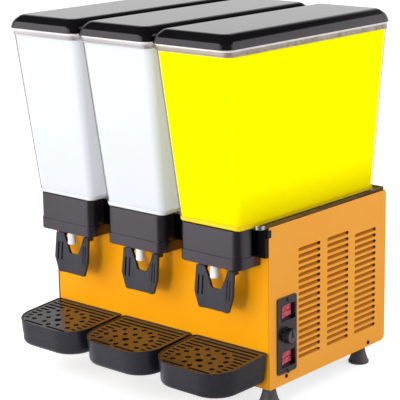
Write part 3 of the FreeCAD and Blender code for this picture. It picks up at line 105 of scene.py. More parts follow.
class Graph:
    """A node tree of a material or of the world, with short calls for the nodes used here."""

    def __init__(self, owner: bpy.types.ID, shader: str = "Principled BSDF", place: str = "Object") -> None:
        """Open the owner's tree.

        Args:
            owner: the material or world.
            shader: the name of its shader node.
            place: the texture coordinate that its patterns follow.
        """
        self.owner = owner
        owner.use_nodes = True
        self.tree = owner.node_tree
        self.shader = self.tree.nodes[shader]
        self.place = self.node("ShaderNodeTexCoord").outputs[place]

    def node(self, kind: str, **values: object) -> bpy.types.Node:
        """Add a node.

        Args:
            kind: the node's type.
            values: attributes to set on it.

        Returns:
            The node.
        """
        made = self.tree.nodes.new(kind)
        for key, value in values.items():
            setattr(made, key, value)
        return made

    def link(self, start: Socket, end: Socket) -> None:
        """Join an output to an input."""
        self.tree.links.new(start, end)

    def enter(self, value: Value, end: Socket) -> None:
        """Put a constant or another node's output into an input.

        Args:
            value: the constant or the output.
            end: the input.
        """
        if isinstance(value, Socket):
            self.link(value, end)
        else:
            end.default_value = value

    def shade(self, name: str, value: Value) -> None:
        """Put a constant or another node's output into one of the shader's inputs."""
        self.enter(value, self.shader.inputs[name])

    def stretched(self, stretch: Colour) -> Socket:
        """Scale the surface place along each axis.

        Args:
            stretch: the scale along X, Y and Z.

        Returns:
            The scaled place.
        """
        mapping = self.node("ShaderNodeMapping")
        mapping.inputs["Scale"].default_value = stretch
        self.link(self.place, mapping.inputs["Vector"])
        return mapping.outputs["Vector"]

    def texture(self, kind: str, scale: float, place: Socket, **values: object) -> bpy.types.Node:
        """Add a texture.

        Args:
            kind: the node's type.
            scale: how many of its units lie in a metre.
            place: the place that it follows.
            values: attributes to set on it.

        Returns:
            The node.
        """
        made = self.node(kind, **values)
        made.inputs["Scale"].default_value = scale
        self.link(place, made.inputs["Vector"])
        return made

    def noise(self, size: float, stretch: Colour = UNSTRETCHED, detail: float = 3.0) -> Socket:
        """Add a cloudy noise.

        Args:
            size: the size of its patches, in millimetres.
            stretch: the scale along each axis.
            detail: how many finer layers it has.

        Returns:
            The noise's value.
        """
        noise = self.texture("ShaderNodeTexNoise", 1 / (size * MM), self.stretched(stretch))
        noise.inputs["Detail"].default_value = detail
        return noise.outputs["Fac"]

    def cells(self, size: float) -> Socket:
        """Add a pattern of cells, each of one random tone.

        Args:
            size: the size of a cell, in millimetres.

        Returns:
            The cell's tone.
        """
        cells = self.texture("ShaderNodeTexVoronoi", 1 / (size * MM), self.place)
        tone = self.node("ShaderNodeSeparateColor")
        self.link(cells.outputs["Color"], tone.inputs["Color"])
        return tone.outputs["Red"]

    def waves(self, size: float) -> Socket:
        """Add slanting waves, as on a braided sleeve.

        Args:
            size: the distance between two waves, in millimetres.

        Returns:
            The waves' height.
        """
        scale = 1 / (size * MM) / WAVES_IN_UNIT
        wave = self.texture("ShaderNodeTexWave", scale, self.place, bands_direction="DIAGONAL")
        wave.inputs["Distortion"].default_value = 0.6
        return wave.outputs["Fac"]

    def ranged(self, source: Socket, start: float, end: float, low: float, high: float) -> Socket:
        """Map one range of a value onto another, smoothly and without overshoot.

        Args:
            source: the value.
            start: where the range begins.
            end: where the range ends.
            low: the result at the beginning.
            high: the result at the end.

        Returns:
            The mapped value.
        """
        mapped = self.node("ShaderNodeMapRange")
        for name, value in (("From Min", start), ("From Max", end), ("To Min", low), ("To Max", high)):
            mapped.inputs[name].default_value = value
        self.link(source, mapped.inputs["Value"])
        return mapped.outputs["Result"]

    def between(self, source: Socket, first: Colour, second: Colour) -> Socket:
        """Blend two colours by the middle of a noise.

        Args:
            source: low for the first colour, high for the second.
            first: the first colour.
            second: the second colour.

        Returns:
            The blended colour.
        """
        ramp = self.node("ShaderNodeValToRGB")
        for element, colour, position in zip(ramp.color_ramp.elements, (first, second), NOISE_SPAN):
            element.color = (*colour, 1.0)
            element.position = position
        self.link(source, ramp.inputs["Fac"])
        return ramp.outputs["Color"]

    def mixed(self, share: Socket, first: Colour | Socket, second: Colour | Socket) -> Socket:
        """Mix two colours, each given as a colour or as a socket.

        Args:
            share: 0 for the first colour, 1 for the second.
            first: the first colour.
            second: the second colour.

        Returns:
            The mixed colour.
        """
        mix = self.node("ShaderNodeMix", data_type="RGBA")
        self.link(share, mix.inputs["Factor"])
        for value, end in ((first, mix.inputs[6]), (second, mix.inputs[7])):
            self.enter((*value, 1.0) if isinstance(value, tuple) else value, end)
        return mix.outputs[2]

    def chosen(self, flag: Socket, first: float | Socket, second: float | Socket) -> Socket:
        """Mix two numbers, each given as a number or as a socket.

        Args:
            flag: 0 for the first, 1 for the second.
            first: the first number.
            second: the second number.

        Returns:
            The mixed number.
        """
        mix = self.node("ShaderNodeMix")
        self.link(flag, mix.inputs["Factor"])
        self.enter(first, mix.inputs["A"])
        self.enter(second, mix.inputs["B"])
        return mix.outputs["Result"]

    def axis(self, name: str, vector: Socket | None = None) -> Socket:
        """Take one coordinate.

        Args:
            name: its letter.
            vector: the vector that it is taken from; the surface place if none is given.

        Returns:
            The coordinate.
        """
        axes = self.node("ShaderNodeSeparateXYZ")
        self.link(vector or self.place, axes.inputs["Vector"])
        return axes.outputs[name]

    def slant(self) -> Socket:
        """Measure how far the surface turns away from the eye.

        Returns:
            0 where it faces the eye, 1 edge on.
        """
        weight = self.node("ShaderNodeLayerWeight")
        weight.inputs["Blend"].default_value = 0.5
        return weight.outputs["Facing"]

    def counted(self, operation: str, first: Socket, second: float | Socket = 0.0) -> Socket:
        """Do a sum with one or two numbers.

        Args:
            operation: the sum's name, as Blender writes it.
            first: the first number.
            second: the second number, or its socket.

        Returns:
            The result.
        """
        counted = self.node("ShaderNodeMath", operation=operation)
        self.link(first, counted.inputs[0])
        self.enter(second, counted.inputs[1])
        return counted.outputs["Value"]

    def off_middle(self) -> Socket:
        """Give the distance from the cabinet's middle plane, in metres."""
        return self.counted("ABSOLUTE", self.counted("SUBTRACT", self.axis("X"), ORIGIN.x))

    def toward(self, yaw: float) -> Socket:
        """Say how far the place lies toward a bearing on the floor.

        Args:
            yaw: the bearing, in degrees from straight ahead of the front panel, to its right.

        Returns:
            1 on the bearing, 0 square to it, -1 behind it.
        """
        flat = self.node("ShaderNodeVectorMath", operation="MULTIPLY")
        flat.inputs[1].default_value = (1.0, 1.0, 0.0)
        self.link(self.place, flat.inputs[0])
        unit = self.node("ShaderNodeVectorMath", operation="NORMALIZE")
        self.link(flat.outputs["Vector"], unit.inputs[0])
        dot = self.node("ShaderNodeVectorMath", operation="DOT_PRODUCT")
        dot.inputs[1].default_value = (math.sin(math.radians(yaw)), -math.cos(math.radians(yaw)), 0.0)
        self.link(unit.outputs["Vector"], dot.inputs[0])
        return dot.outputs["Value"]

    def bump(self, source: Socket, depth: float) -> None:
        """Raise the surface by a pattern.

        Args:
            source: the pattern.
            depth: its height, in millimetres.
        """
        bump = self.node("ShaderNodeBump")
        bump.inputs["Distance"].default_value = depth * MM
        bump.inputs["Strength"].default_value = 1.0
        self.link(source, bump.inputs["Height"])
        self.shade("Normal", bump.outputs["Normal"])


@dataclass(frozen=True)
class Finish:
    """One real finish: two close colours that drift, a roughness that varies and a fine relief.

    Attributes:
        slot: the record's material slot.
        colour: the main colour, linear.
        drift: the colour that it drifts to.
        drift_size: the size of the colour patches, in millimetres.
        roughness: the lowest and highest roughness.
        grain: how the relief runs.
        grain_size: the size of the relief, in millimetres.
        grain_depth: the height of the relief, in millimetres.
        sockets: other shader numbers and colours, the same all over.
        variant: a word that tells apart two finishes of one slot.
    """

    slot: str
    colour: Colour
    drift: Colour
    drift_size: float
    roughness: tuple[float, float]
    grain: Grain
    grain_size: float
    grain_depth: float
    sockets: tuple[tuple[str, Value], ...] = ()
    variant: str = "plain"

    def make(self) -> bpy.types.Material:
        """Build the material once, and give the same one on later calls."""
        name = f"{self.slot}_{self.variant}_{self.grain.value}"
        return bpy.data.materials.get(name) or self.draw(Graph(bpy.data.materials.new(name)))

    def draw(self, graph: Graph) -> bpy.types.Material:
        """Lay the nodes of the finish.

        Args:
            graph: the material's empty tree.

        Returns:
            The material.
        """
        stretch = GRAIN_STRETCH.get(self.grain, UNSTRETCHED)
        if self.grain is Grain.CELLS:
            patches = graph.cells(self.drift_size)
        else:
            patches = graph.noise(self.drift_size, stretch)
        if self.grain is Grain.BRAID:
            relief = graph.waves(self.grain_size)
        else:
            relief = graph.noise(self.grain_size, stretch, 2.0)
        graph.shade("Base Color", self.tint(graph, graph.between(patches, self.colour, self.drift)))
        graph.shade("Roughness", graph.ranged(relief, *NOISE_SPAN, *self.roughness))
        graph.bump(relief, self.grain_depth)
        for name, value in self.sockets:
            graph.shade(name, value)
        return graph.owner

    def tint(self, graph: Graph, colour: Socket) -> Socket:
        """Change the drifting colour by place; a plain finish leaves it as it is."""
        return colour


@dataclass(frozen=True)
class DrinkFinish(Finish):
    """A cloudy drink: its colour deepens toward the floor, and it glows a little with painted light, as no lamp
    is inside it.

    Attributes:
        deep: the colour near the bowl's floor.
        low: the height where it is deepest, in millimetres.
        high: the height where it is lightest, in millimetres.
        inner: the colour of the drink's painted glow.
        painted_glow: how strongly the drink glows; the glow is painted light.
    """

    deep: Colour = (0.8, 0.8, 0.8)
    low: float = 350.0
    high: float = 560.0
    inner: Colour = (1.0, 1.0, 1.0)
    painted_glow: float = 0.3

    def tint(self, graph: Graph, colour: Socket) -> Socket:
        """Deepen the colour towards the bowl's floor, and paint a little glow onto the drink.

        Args:
            graph: the material's tree.
            colour: the drifting colour.

        Returns:
            The changed colour.
        """
        # Painted light: the drink glows as if lit from inside, though no lamp is there.
        graph.shade("Emission Color", (*self.inner, 1.0))
        graph.shade("Emission Strength", self.painted_glow)
        share = graph.ranged(graph.axis("Z"), self.low * MM, self.high * MM, 0.0, 1.0)
        return graph.mixed(share, self.deep, colour)


@dataclass(frozen=True)
class ClearFinish(Finish):
    """A clear moulding: nearly unseen from the front, darker where it is seen edge on.

    Attributes:
        open_alpha: how much of it shows where it faces the eye.
        edge_alpha: how much of it shows edge on.
        edge_start: the slant at which the edge begins to show, from 0, facing, to 1, edge on.
        edge_end: the slant at which it shows fully.
    """

    open_alpha: float = 0.06
    edge_alpha: float = 0.75
    edge_start: float = 0.55
    edge_end: float = 0.97

    def draw(self, graph: Graph) -> bpy.types.Material:
        """Lay the nodes of the finish, with the slant's share of its opacity.

        Args:
            graph: the material's tree.

        Returns:
            The material.
        """
        super().draw(graph)
        edge = (self.edge_start, self.edge_end)
        graph.shade("Alpha", graph.ranged(graph.slant(), *edge, self.open_alpha, self.edge_alpha))
        return graph.owner


@dataclass(frozen=True)
class WallFinish(ClearFinish):
    """A bowl's clear wall: it takes the drink's colour edge on, with a dark line of painted shade down its
    front corners.

    Attributes:
        line: the colour of the painted shade line.
        shade_line_start: the slant at which the painted shade line begins.
        shade_line_end: the slant at which its opacity is full.
        shade_line_depth: how much of it shows at most.
        tint_end: the slant at which its colour is full.
        corner: how far the surface turns both aside and ahead where the painted shade line begins, and where it
            is full.
    """

    # Painted shade: a dark colour laid down the wall's front corners where they are seen edge on.
    line: Colour = (0.13, 0.085, 0.095)
    shade_line_start: float = 0.42
    shade_line_end: float = 0.70
    shade_line_depth: float = 0.75
    tint_end: float = 0.46
    corner: tuple[float, float] = (0.03, 0.14)

    def shade_line_share(self, graph: Graph, end: float) -> Socket:
        """Find the painted shade line: a rounded front corner that is seen edge on.

        Args:
            graph: the material's tree.
            end: the slant at which the line is full.

        Returns:
            0 off the line, 1 on it.
        """
        normal = graph.node("ShaderNodeTexCoord").outputs["Normal"]
        aside = graph.counted("ABSOLUTE", graph.axis("X", normal))
        ahead = graph.counted("MULTIPLY", graph.axis("Y", normal), -1.0)
        corner = graph.ranged(graph.counted("MULTIPLY", aside, ahead), *self.corner, 0.0, 1.0)
        edge = graph.ranged(graph.slant(), self.shade_line_start, end, 0.0, 1.0)
        return graph.counted("MULTIPLY", corner, edge)

    def draw(self, graph: Graph) -> bpy.types.Material:
        """Lay the nodes of the clear wall, and let the painted shade line show.

        Args:
            graph: the material's tree.

        Returns:
            The material.
        """
        super().draw(graph)
        clear = graph.shader.inputs["Alpha"].links[0].from_socket
        line = graph.counted("MULTIPLY", self.shade_line_share(graph, self.shade_line_end), self.shade_line_depth)
        graph.shade("Alpha", graph.counted("MAXIMUM", clear, line))
        return graph.owner

    def tint(self, graph: Graph, colour: Socket) -> Socket:
        """Lay the painted shade line over the drink's colour."""
        return graph.mixed(self.shade_line_share(graph, self.tint_end), colour, self.line)


@dataclass(frozen=True)
class PanelFinish(Finish):
    """A painted side panel, darker inside the louvres: painted shade for the shadow in their hollows.

    Attributes:
        recess_shade: the painted shade colour inside the louvres.
        skin: how far from the middle plane the outer face lies, in millimetres.
        shade_fade: how far under the outer face the painted shade begins, and where it is darkest.
    """

    # Painted shade: the louvres' hollows are painted darker.
    recess_shade: Colour = (0.56, 0.165, 0.001)
    skin: float = 269.0
    shade_fade: tuple[float, float] = (0.4, 1.2)

    def tint(self, graph: Graph, colour: Socket) -> Socket:
        """Paint shade onto the faces behind the outer face, in the louvres' hollows."""
        outer, inner = ((self.skin - depth) * MM for depth in self.shade_fade)
        return graph.mixed(graph.ranged(graph.off_middle(), inner, outer, 0.0, 1.0), self.recess_shade, colour)


@dataclass(frozen=True)
class DeckFinish(Finish):
    """The deck's steel, with a dark band of painted shadow along the outer sides of its rim, flecked with
    painted glints.

    Attributes:
        band: the painted shadow's darkest colour.
        glint: the colour of the painted glints in it.
        glint_size: the size of the painted glints, in millimetres.
        glint_stretch: their scale along each axis.
        side: how far from the middle plane the band begins, and where it is full.
        front: where it begins at the front, and where it is full.
    """

    # Painted shadow along the rim's outer sides, with lighter flecks as painted glints.
    band: Colour = (0.036, 0.016, 0.003)
    glint: Colour = (0.17, 0.092, 0.030)
    glint_size: float = 26.0
    glint_stretch: Colour = (1.0, 0.25, 2.0)
    side: tuple[float, float] = (266.2, 266.5)
    front: tuple[float, float] = (-12.0, -8.0)

    def tint(self, graph: Graph, colour: Socket) -> Socket:
        """Lay the painted shadow band, with its painted glints, over the steel.

        Args:
            graph: the material's tree.
            colour: the drifting colour.

        Returns:
            The changed colour.
        """
        outward = graph.ranged(graph.off_middle(), *(x * MM for x in self.side), 0.0, 1.0)
        behind = graph.ranged(graph.axis("Y"), *(ORIGIN.y + y * MM for y in self.front), 0.0, 1.0)
        glints = graph.between(graph.noise(self.glint_size, self.glint_stretch), self.band, self.glint)
        return graph.mixed(graph.counted("MULTIPLY", outward, behind), colour, glints)


PLUM_SHEEN = ("Specular Tint", (1.0, 0.89, 1.0, 1.0))
INK_SHEEN = ("Specular Tint", (0.86, 0.86, 1.0, 1.0))
METAL = (("Metallic", 1.0),)


def gloss(level: float, *others: tuple[str, Value]) -> tuple[tuple[str, Value], ...]:
    """Set how strongly a finish that isn't a metal mirrors its surroundings, with other values after it."""
    return (("Specular IOR Level", level), *others)


ORANGE_PAINT = Finish(
    "orange_paint", (0.92, 0.345, 0.0020), (0.93, 0.375, 0.0030), 140.0, (0.30, 0.40), Grain.EVEN, 1.6, 0.010,
    gloss(0.10),
)
# The side panels' orange is a paler, bluer copy of the front's, as painted sheen, with painted shade in the
# louvres.
SHEEN_SIDE_PAINT = PanelFinish(
    "orange_paint", (0.92, 0.375, 0.034), (0.92, 0.395, 0.046), 160.0, (0.30, 0.40), Grain.EVEN, 1.6, 0.010,
    gloss(0.16), "side",
)
ZINC_SHEET = Finish(
    "zinc_sheet", (0.50, 0.52, 0.54), (0.62, 0.64, 0.66), 9.0, (0.30, 0.48), Grain.CELLS, 3.0, 0.004, METAL,
)
DECK_STEEL = DeckFinish(
    "deck_steel", (0.56, 0.54, 0.51), (0.64, 0.62, 0.60), 4.0, (0.20, 0.32), Grain.ALONG_X, 0.5, 0.006, METAL,
)
BLACK_MOULDING = Finish(
    "black_moulding", (0.0095, 0.0065, 0.0098), (0.0105, 0.0095, 0.0125), 50.0, (0.20, 0.27),
    Grain.EVEN, 0.9, 0.006, gloss(0.70, PLUM_SHEEN),
)
LEVER_BLACK = Finish(
    "black_moulding", (0.0090, 0.0080, 0.0105), (0.0110, 0.0100, 0.0140), 30.0, (0.22, 0.30),
    Grain.EVEN, 0.9, 0.008, gloss(0.43, INK_SHEEN), "lever",
)
# The bracket's black is a darker, duller copy of the mouldings' black: painted shade for the shadow it stands
# in behind the heads.
BRACKET_SHADED_BLACK = Finish(
    "black_moulding", (0.0035, 0.0022, 0.0034), (0.0050, 0.0036, 0.0050), 50.0, (0.30, 0.40),
    Grain.EVEN, 0.9, 0.010, gloss(0.20), "bracket",
)
TRAY_MOULDING = Finish(
    "tray_moulding", (0.0095, 0.0092, 0.0140), (0.0120, 0.0116, 0.0170), 60.0, (0.24, 0.32),
    Grain.EVEN, 0.8, 0.006, gloss(0.38, INK_SHEEN),
)
GRID_MOULDING = Finish(
    "grid_moulding", (0.014, 0.012, 0.011), (0.020, 0.017, 0.015), 30.0, (0.18, 0.26), Grain.EVEN, 1.0, 0.006,
    gloss(0.80),
)
LID_GLOSS = Finish(
    "lid_gloss", (0.0060, 0.0050, 0.0062), (0.0080, 0.0068, 0.0082), 90.0, (0.09, 0.13),
    Grain.EVEN, 14.0, 0.004, gloss(0.34, PLUM_SHEEN),
)
KNOB_BLACK = Finish(
    "knob_black", (0.0035, 0.0030, 0.0035), (0.0055, 0.0050, 0.0055), 8.0, (0.30, 0.40),
    Grain.EVEN, 0.5, 0.010, gloss(0.35),
)
# The knob's face is a lighter, glossier copy of its black: painted sheen on the face.
KNOB_FACE_SHEEN = Finish(
    "knob_black", (0.026, 0.024, 0.026), (0.032, 0.030, 0.033), 8.0, (0.26, 0.34), Grain.EVEN, 0.5, 0.010,
    gloss(0.95), "face",
)
FOOT_RUBBER = Finish(
    "foot_rubber", (0.058, 0.053, 0.053), (0.074, 0.068, 0.067), 12.0, (0.45, 0.60), Grain.EVEN, 0.8, 0.030,
)
GASKET_RUBBER = Finish(
    "gasket_rubber", (0.34, 0.34, 0.34), (0.42, 0.42, 0.42), 10.0, (0.5, 0.7), Grain.EVEN, 0.7, 0.02,
)
TUBE_SILICONE = Finish(
    "tube_silicone", (0.84, 0.82, 0.80), (0.90, 0.88, 0.86), 6.0, (0.30, 0.42), Grain.ALONG_Z, 0.8, 0.010,
    (("Subsurface Weight", 0.35), ("Subsurface Scale", 0.004)),
)
# The walls carry a line of painted shade down their front corners.
WHITE_WALL = WallFinish(
    "clear_bowl", (0.66, 0.68, 0.71), (0.70, 0.72, 0.74), 150.0, (0.06, 0.11), Grain.EVEN, 30.0, 0.006,
    gloss(0.08), "white_wall", open_alpha=0.03, edge_alpha=0.85, edge_start=0.46, edge_end=0.80,
)
YELLOW_WALL = replace(
    WHITE_WALL, colour=(0.92, 0.84, 0.0), drift=(0.96, 0.90, 0.0), variant="yellow_wall", edge_alpha=0.94,
    edge_end=0.78,
)
CLEAR_INSIDE = ClearFinish(
    "clear_bowl", (0.70, 0.70, 0.72), (0.80, 0.80, 0.82), 150.0, (0.20, 0.30), Grain.EVEN, 30.0, 0.006,
    gloss(0.0, ("IOR", 1.1)), "inside", open_alpha=0.001, edge_alpha=0.12, edge_start=0.60,
)
# The bead is painted pale as a painted highlight line, and the bands' pale patches are painted glints.
CLEAR_RIM = ClearFinish(
    "clear_bowl", (0.78, 0.75, 0.72), (0.92, 0.89, 0.86), 20.0, (0.08, 0.14), Grain.ALONG_X, 3.0, 0.020,
    variant="rim", open_alpha=0.88, edge_alpha=0.95, edge_start=0.40,
)
WHITE_BAND = replace(
    CLEAR_RIM, colour=(0.30, 0.27, 0.28), drift=(0.86, 0.84, 0.87), drift_size=14.0, variant="white_band",
    open_alpha=0.85, edge_alpha=0.96,
)
YELLOW_BAND = replace(
    WHITE_BAND, colour=(0.25, 0.19, 0.150), drift=(0.50, 0.42, 0.34), variant="yellow_band", open_alpha=0.90,
)
WHITE_FOOT = ClearFinish(
    "clear_bowl", (0.70, 0.73, 0.78), (0.76, 0.79, 0.84), 40.0, (0.08, 0.14), Grain.EVEN, 8.0, 0.006,
    variant="white_foot", open_alpha=0.88, edge_alpha=0.96,
)
YELLOW_FOOT = replace(
    WHITE_FOOT, colour=(0.82, 0.62, 0.0), drift=(0.86, 0.68, 0.0), variant="yellow_foot", open_alpha=0.90,
)
PADDLE_WHITE = Finish(
    "paddle_white", (0.68, 0.68, 0.67), (0.76, 0.76, 0.75), 20.0, (0.34, 0.46), Grain.EVEN, 0.9, 0.010,
)
MAGNET_STEEL = Finish(
    "magnet_steel", (0.40, 0.40, 0.41), (0.50, 0.50, 0.50), 3.0, (0.28, 0.42), Grain.ALONG_X, 0.6, 0.006,
    METAL,
)
MOTOR_PAINT = Finish(
    "motor_paint", (0.010, 0.010, 0.011), (0.018, 0.018, 0.019), 40.0, (0.30, 0.50), Grain.EVEN, 2.2, 0.030,
)
SCREW_STEEL = Finish(
    "screw_steel", (0.055, 0.045, 0.038), (0.085, 0.070, 0.058), 1.5, (0.26, 0.38), Grain.EVEN, 0.5, 0.004,
    METAL,
)
COPPER = Finish(
    "copper", (0.62, 0.27, 0.13), (0.46, 0.17, 0.08), 14.0, (0.22, 0.40), Grain.EVEN, 1.5, 0.006, METAL,
)
FIN_ALUMINIUM = Finish(
    "fin_aluminium", (0.66, 0.67, 0.68), (0.74, 0.75, 0.76), 5.0, (0.30, 0.44), Grain.ALONG_Z, 0.6, 0.004,
    METAL,
)
# The rockers' red is their own; its pink patches are painted glints.
ROCKER_RED = Finish(
    "rocker_red", (0.56, 0.020, 0.050), (0.76, 0.130, 0.170), 5.0, (0.14, 0.24), Grain.EVEN, 2.0, 0.010,
    (("Coat Weight", 0.3), ("Coat Roughness", 0.10), ("Subsurface Weight", 0.15)),
)
LOOM_SLEEVE = Finish(
    "loom_sleeve", (0.012, 0.012, 0.013), (0.024, 0.024, 0.026), 3.0, (0.45, 0.65), Grain.BRAID, 2.4, 0.200,
)
# The drinks glow with painted light, though no lamp is inside them.
WHITE_DRINK = DrinkFinish(
    "clear_bowl", (0.39, 0.41, 0.435), (0.41, 0.43, 0.45), 90.0, (0.25, 0.35), Grain.EVEN, 60.0, 0.05,
    gloss(0.05), "white_drink", deep=(0.37, 0.39, 0.42), inner=(0.94, 0.96, 1.0),
    painted_glow=0.40,
)
YELLOW_DRINK = DrinkFinish(
    "clear_bowl", (1.0, 0.99, 0.0), (1.0, 1.0, 0.0), 90.0, (0.25, 0.35), Grain.EVEN, 60.0, 0.05,
    gloss(0.0), "yellow_drink", deep=(0.70, 0.52, 0.0), low=345.0,
    high=430.0, inner=(1.0, 0.96, 0.0), painted_glow=0.20,
)


# Points of a CAD mesh that lie closer than this are one point, in millimetres.
WELD_GAP = 0.005
# Faces that turn less than this from one another are one flat face, in degrees.
FLAT_TURN = 0.4
# The sharpest turn that still counts as a curve, and the turn at which the shading breaks, in degrees.
CURVE_TURN = 32.0
BREAK_TURN = 50.0
# The parts of each quarter circle at an outline's corner, and the corner's least radius in millimetres.
ARC_STEPS = 8
LEAST_RADIUS = 0.3


def break_shading(piece: bpy.types.Object, turn: float) -> None:
    """Break a piece's shading along its edges that turn more than some degrees."""
    parting = piece.modifiers.new("split", "EDGE_SPLIT")
    parting.split_angle = math.radians(turn)


def soften(node: str, width: float, angle: float, split: float) -> None:
    """Round a CAD node's hard edges and smooth its curved faces, with modifiers only.

    Args:
        node: the CAD node.
        width: how wide the rounding is, in millimetres; 0 leaves the edges sharp.
        angle: the sharpest turn that still counts as a curve, in degrees.
        split: the turn from which the shading breaks where edges are rounded, in degrees.
    """
    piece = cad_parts[node]
    mesh = piece.data
    with bpy.context.temp_override(object=piece, active_object=piece, selected_objects=[piece]):
        if mesh.has_custom_normals:
            bpy.ops.mesh.customdata_custom_splitnormals_clear()
    mesh.shade_smooth()
    weld = piece.modifiers.new("weld", "WELD")
    weld.merge_threshold = WELD_GAP * MM
    if width > 0:
        merge = piece.modifiers.new("merge", "DECIMATE")
        merge.decimate_type = "DISSOLVE"
        merge.angle_limit = math.radians(FLAT_TURN)
        bevel = piece.modifiers.new("bevel", "BEVEL")
        bevel.width = width * MM
        bevel.segments = 2
        bevel.limit_method = "ANGLE"
        bevel.angle_limit = math.radians(angle)
        bevel.harden_normals = True
    break_shading(piece, angle if width == 0 else split)


def dress(
    node: str, finish: Finish, width: float = 0.0, angle: float = CURVE_TURN, split: float = BREAK_TURN
) -> None:
    """Give a CAD node its finish and softened edges.

    Args:
        node: the CAD node.
        finish: its finish.
        width: the rounding of its edges, in millimetres.
        angle: the sharpest turn that still counts as a curve, in degrees.
        split: the turn from which the shading breaks where edges are rounded, in degrees.
    """
    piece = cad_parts[node]
    material = finish.make()
    if piece.material_slots:
        for slot in piece.material_slots:
            slot.material = material
    else:
        piece.data.materials.append(material)
    soften(node, width, angle, split)
    log.info("dressed %s in %s", node, finish.slot)


def rounded(corners: list[Corner], steps: int = 4) -> list[tuple[float, float]]:
    """Round the corners of an open run of points.

    Args:
        corners: the points, each with the radius of its corner: two places and a radius.
        steps: how many parts each arc has.

    Returns:
        The run with its arcs.
    """
    run = []
    for number, (u, v, radius) in enumerate(corners):
        if number in (0, len(corners) - 1) or radius == 0:
            run.append((u, v))
            continue
        corner = Vector((u, v))
        back = Vector(corners[number - 1][:2]) - corner
        ahead = Vector(corners[number + 1][:2]) - corner
        half = back.angle(ahead) / 2
        reach = min(radius / math.tan(half), 0.49 * back.length, 0.49 * ahead.length)
        back.normalize()
        ahead.normalize()
        start = corner + back * reach
        end = corner + ahead * reach
        middle = corner + (back + ahead).normalized() * (reach / math.cos(half))
        turn = (start - middle).angle_signed(end - middle)
        for step in range(steps + 1):
            run.append(tuple(middle + Matrix.Rotation(-turn * step / steps, 2) @ (start - middle)))
    return run


@dataclass(frozen=True)
class Outline:
    """A level rectangle with round corners.

    Attributes:
        half: half its width, in millimetres.
        front: its front edge.
        back: its back edge.
        corner: the radius of its corners.
        corner_share: how much the corners shrink with an inset, from 0 to 1.
    """

    half: float
    front: float
    back: float
    corner: float
    corner_share: float = 1.0

    def toward(self, other: "Outline", share: float) -> "Outline":
        """Blend this outline into another.

        Args:
            other: the other outline.
            share: 0 for this one, 1 for the other.

        Returns:
            The outline between them.
        """
        mine = (self.half, self.front, self.back, self.corner)
        theirs = (other.half, other.front, other.back, other.corner)
        return Outline(*(a + (b - a) * share for a, b in zip(mine, theirs)), self.corner_share)

    def ring(
        self, x: float, z: float, inset: float = 0.0, between: tuple[tuple[float, ...], ...] = ((),) * 4
    ) -> Ring:
        """Trace the outline, anticlockwise seen from above.

        Args:
            x: its middle across the front, in millimetres.
            z: its height.
            inset: how far it is drawn in.
            between: for the front, right, back and left sides, the shares along them of extra points.

        Returns:
            The points, in metres.
        """
        half, y0, y1 = self.half - inset, self.front + inset, self.back - inset
        radius = max(self.corner - inset * self.corner_share, LEAST_RADIUS)
        corners = (
            (-half + radius, y0 + radius, 180.0),
            (half - radius, y0 + radius, 270.0),
            (half - radius, y1 - radius, 0.0),
            (-half + radius, y1 - radius, 90.0),
        )
        arcs = []
        for cx, cy, start in corners:
            turns = [math.radians(start + 90.0 * step / ARC_STEPS) for step in range(ARC_STEPS + 1)]
            arcs.append([at(x + cx + radius * math.cos(a), cy + radius * math.sin(a), z) for a in turns])
        points = []
        for number, arc in enumerate(arcs):
            points += arc
            end = arcs[(number + 1) % 4][0]
            points += [arc[-1].lerp(end, share) for share in between[number]]
        return points


class Shape:
    """One piece's mesh, put together from skinned stacks of rings."""

    def __init__(self) -> None:
        """Start with an empty mesh."""
        self.mesh = bmesh.new()

    def skin(self, rings: list[Ring], loop: bool = False, kinds: list[int] | None = None) -> None:
        """Skin a stack of rings that have the same number of points.

        Args:
            rings: the rings, each a closed run of points.
            loop: whether the last ring joins the first; otherwise both ends are closed flat.
            kinds: for each ring, the material number of the faces from it to the next.
        """
        loops = [[self.mesh.verts.new(point) for point in ring] for ring in rings]
        pairs = list(zip(loops, loops[1:]))
        if loop:
            pairs.append((loops[-1], loops[0]))
        for number, (lower, upper) in enumerate(pairs):
            for i in range(len(lower)):
                j = (i + 1) % len(lower)
                face = self.mesh.faces.new((lower[i], lower[j], upper[j], upper[i]))
                face.material_index = kinds[number] if kinds else 0
        if not loop:
            self.mesh.faces.new(list(reversed(loops[0])))
            self.mesh.faces.new(loops[-1])

    def turned(
        self, profile: list[tuple[float, float]], place: Matrix, count: int = 48, loop: bool = False
    ) -> None:
        """Turn a profile about an axis.

        Args:
            profile: radius and height of each ring, in millimetres.
            place: where the axis stands; the height runs along its local Z.
            count: how many points each ring has.
            loop: whether the last ring joins the first.
        """
        turns = [math.tau * number / count for number in range(count)]
        rings = []
        for radius, height in profile:
            spots = [Vector((radius * math.cos(a), radius * math.sin(a), height)) for a in turns]
            rings.append([place @ (spot * MM) for spot in spots])
        self.skin(rings, loop)

    def piece(self, name: str, weighted: bool = True) -> bpy.types.Object:
        """Turn the mesh into a smooth-shaded piece in the scene.

        Args:
            name: the piece's name.
            weighted: whether large faces rule the shading, as beside small roundings.

        Returns:
            The piece.
        """
        bmesh.ops.recalc_face_normals(self.mesh, faces=self.mesh.faces)
        mesh = bpy.data.meshes.new(name)
        self.mesh.to_mesh(mesh)
        self.mesh.free()
        mesh.shade_smooth()
        piece = bpy.data.objects.new(name, mesh)
        bpy.context.scene.collection.objects.link(piece)
        if weighted:
            piece.modifiers.new("shading", "WEIGHTED_NORMAL")
        return piece


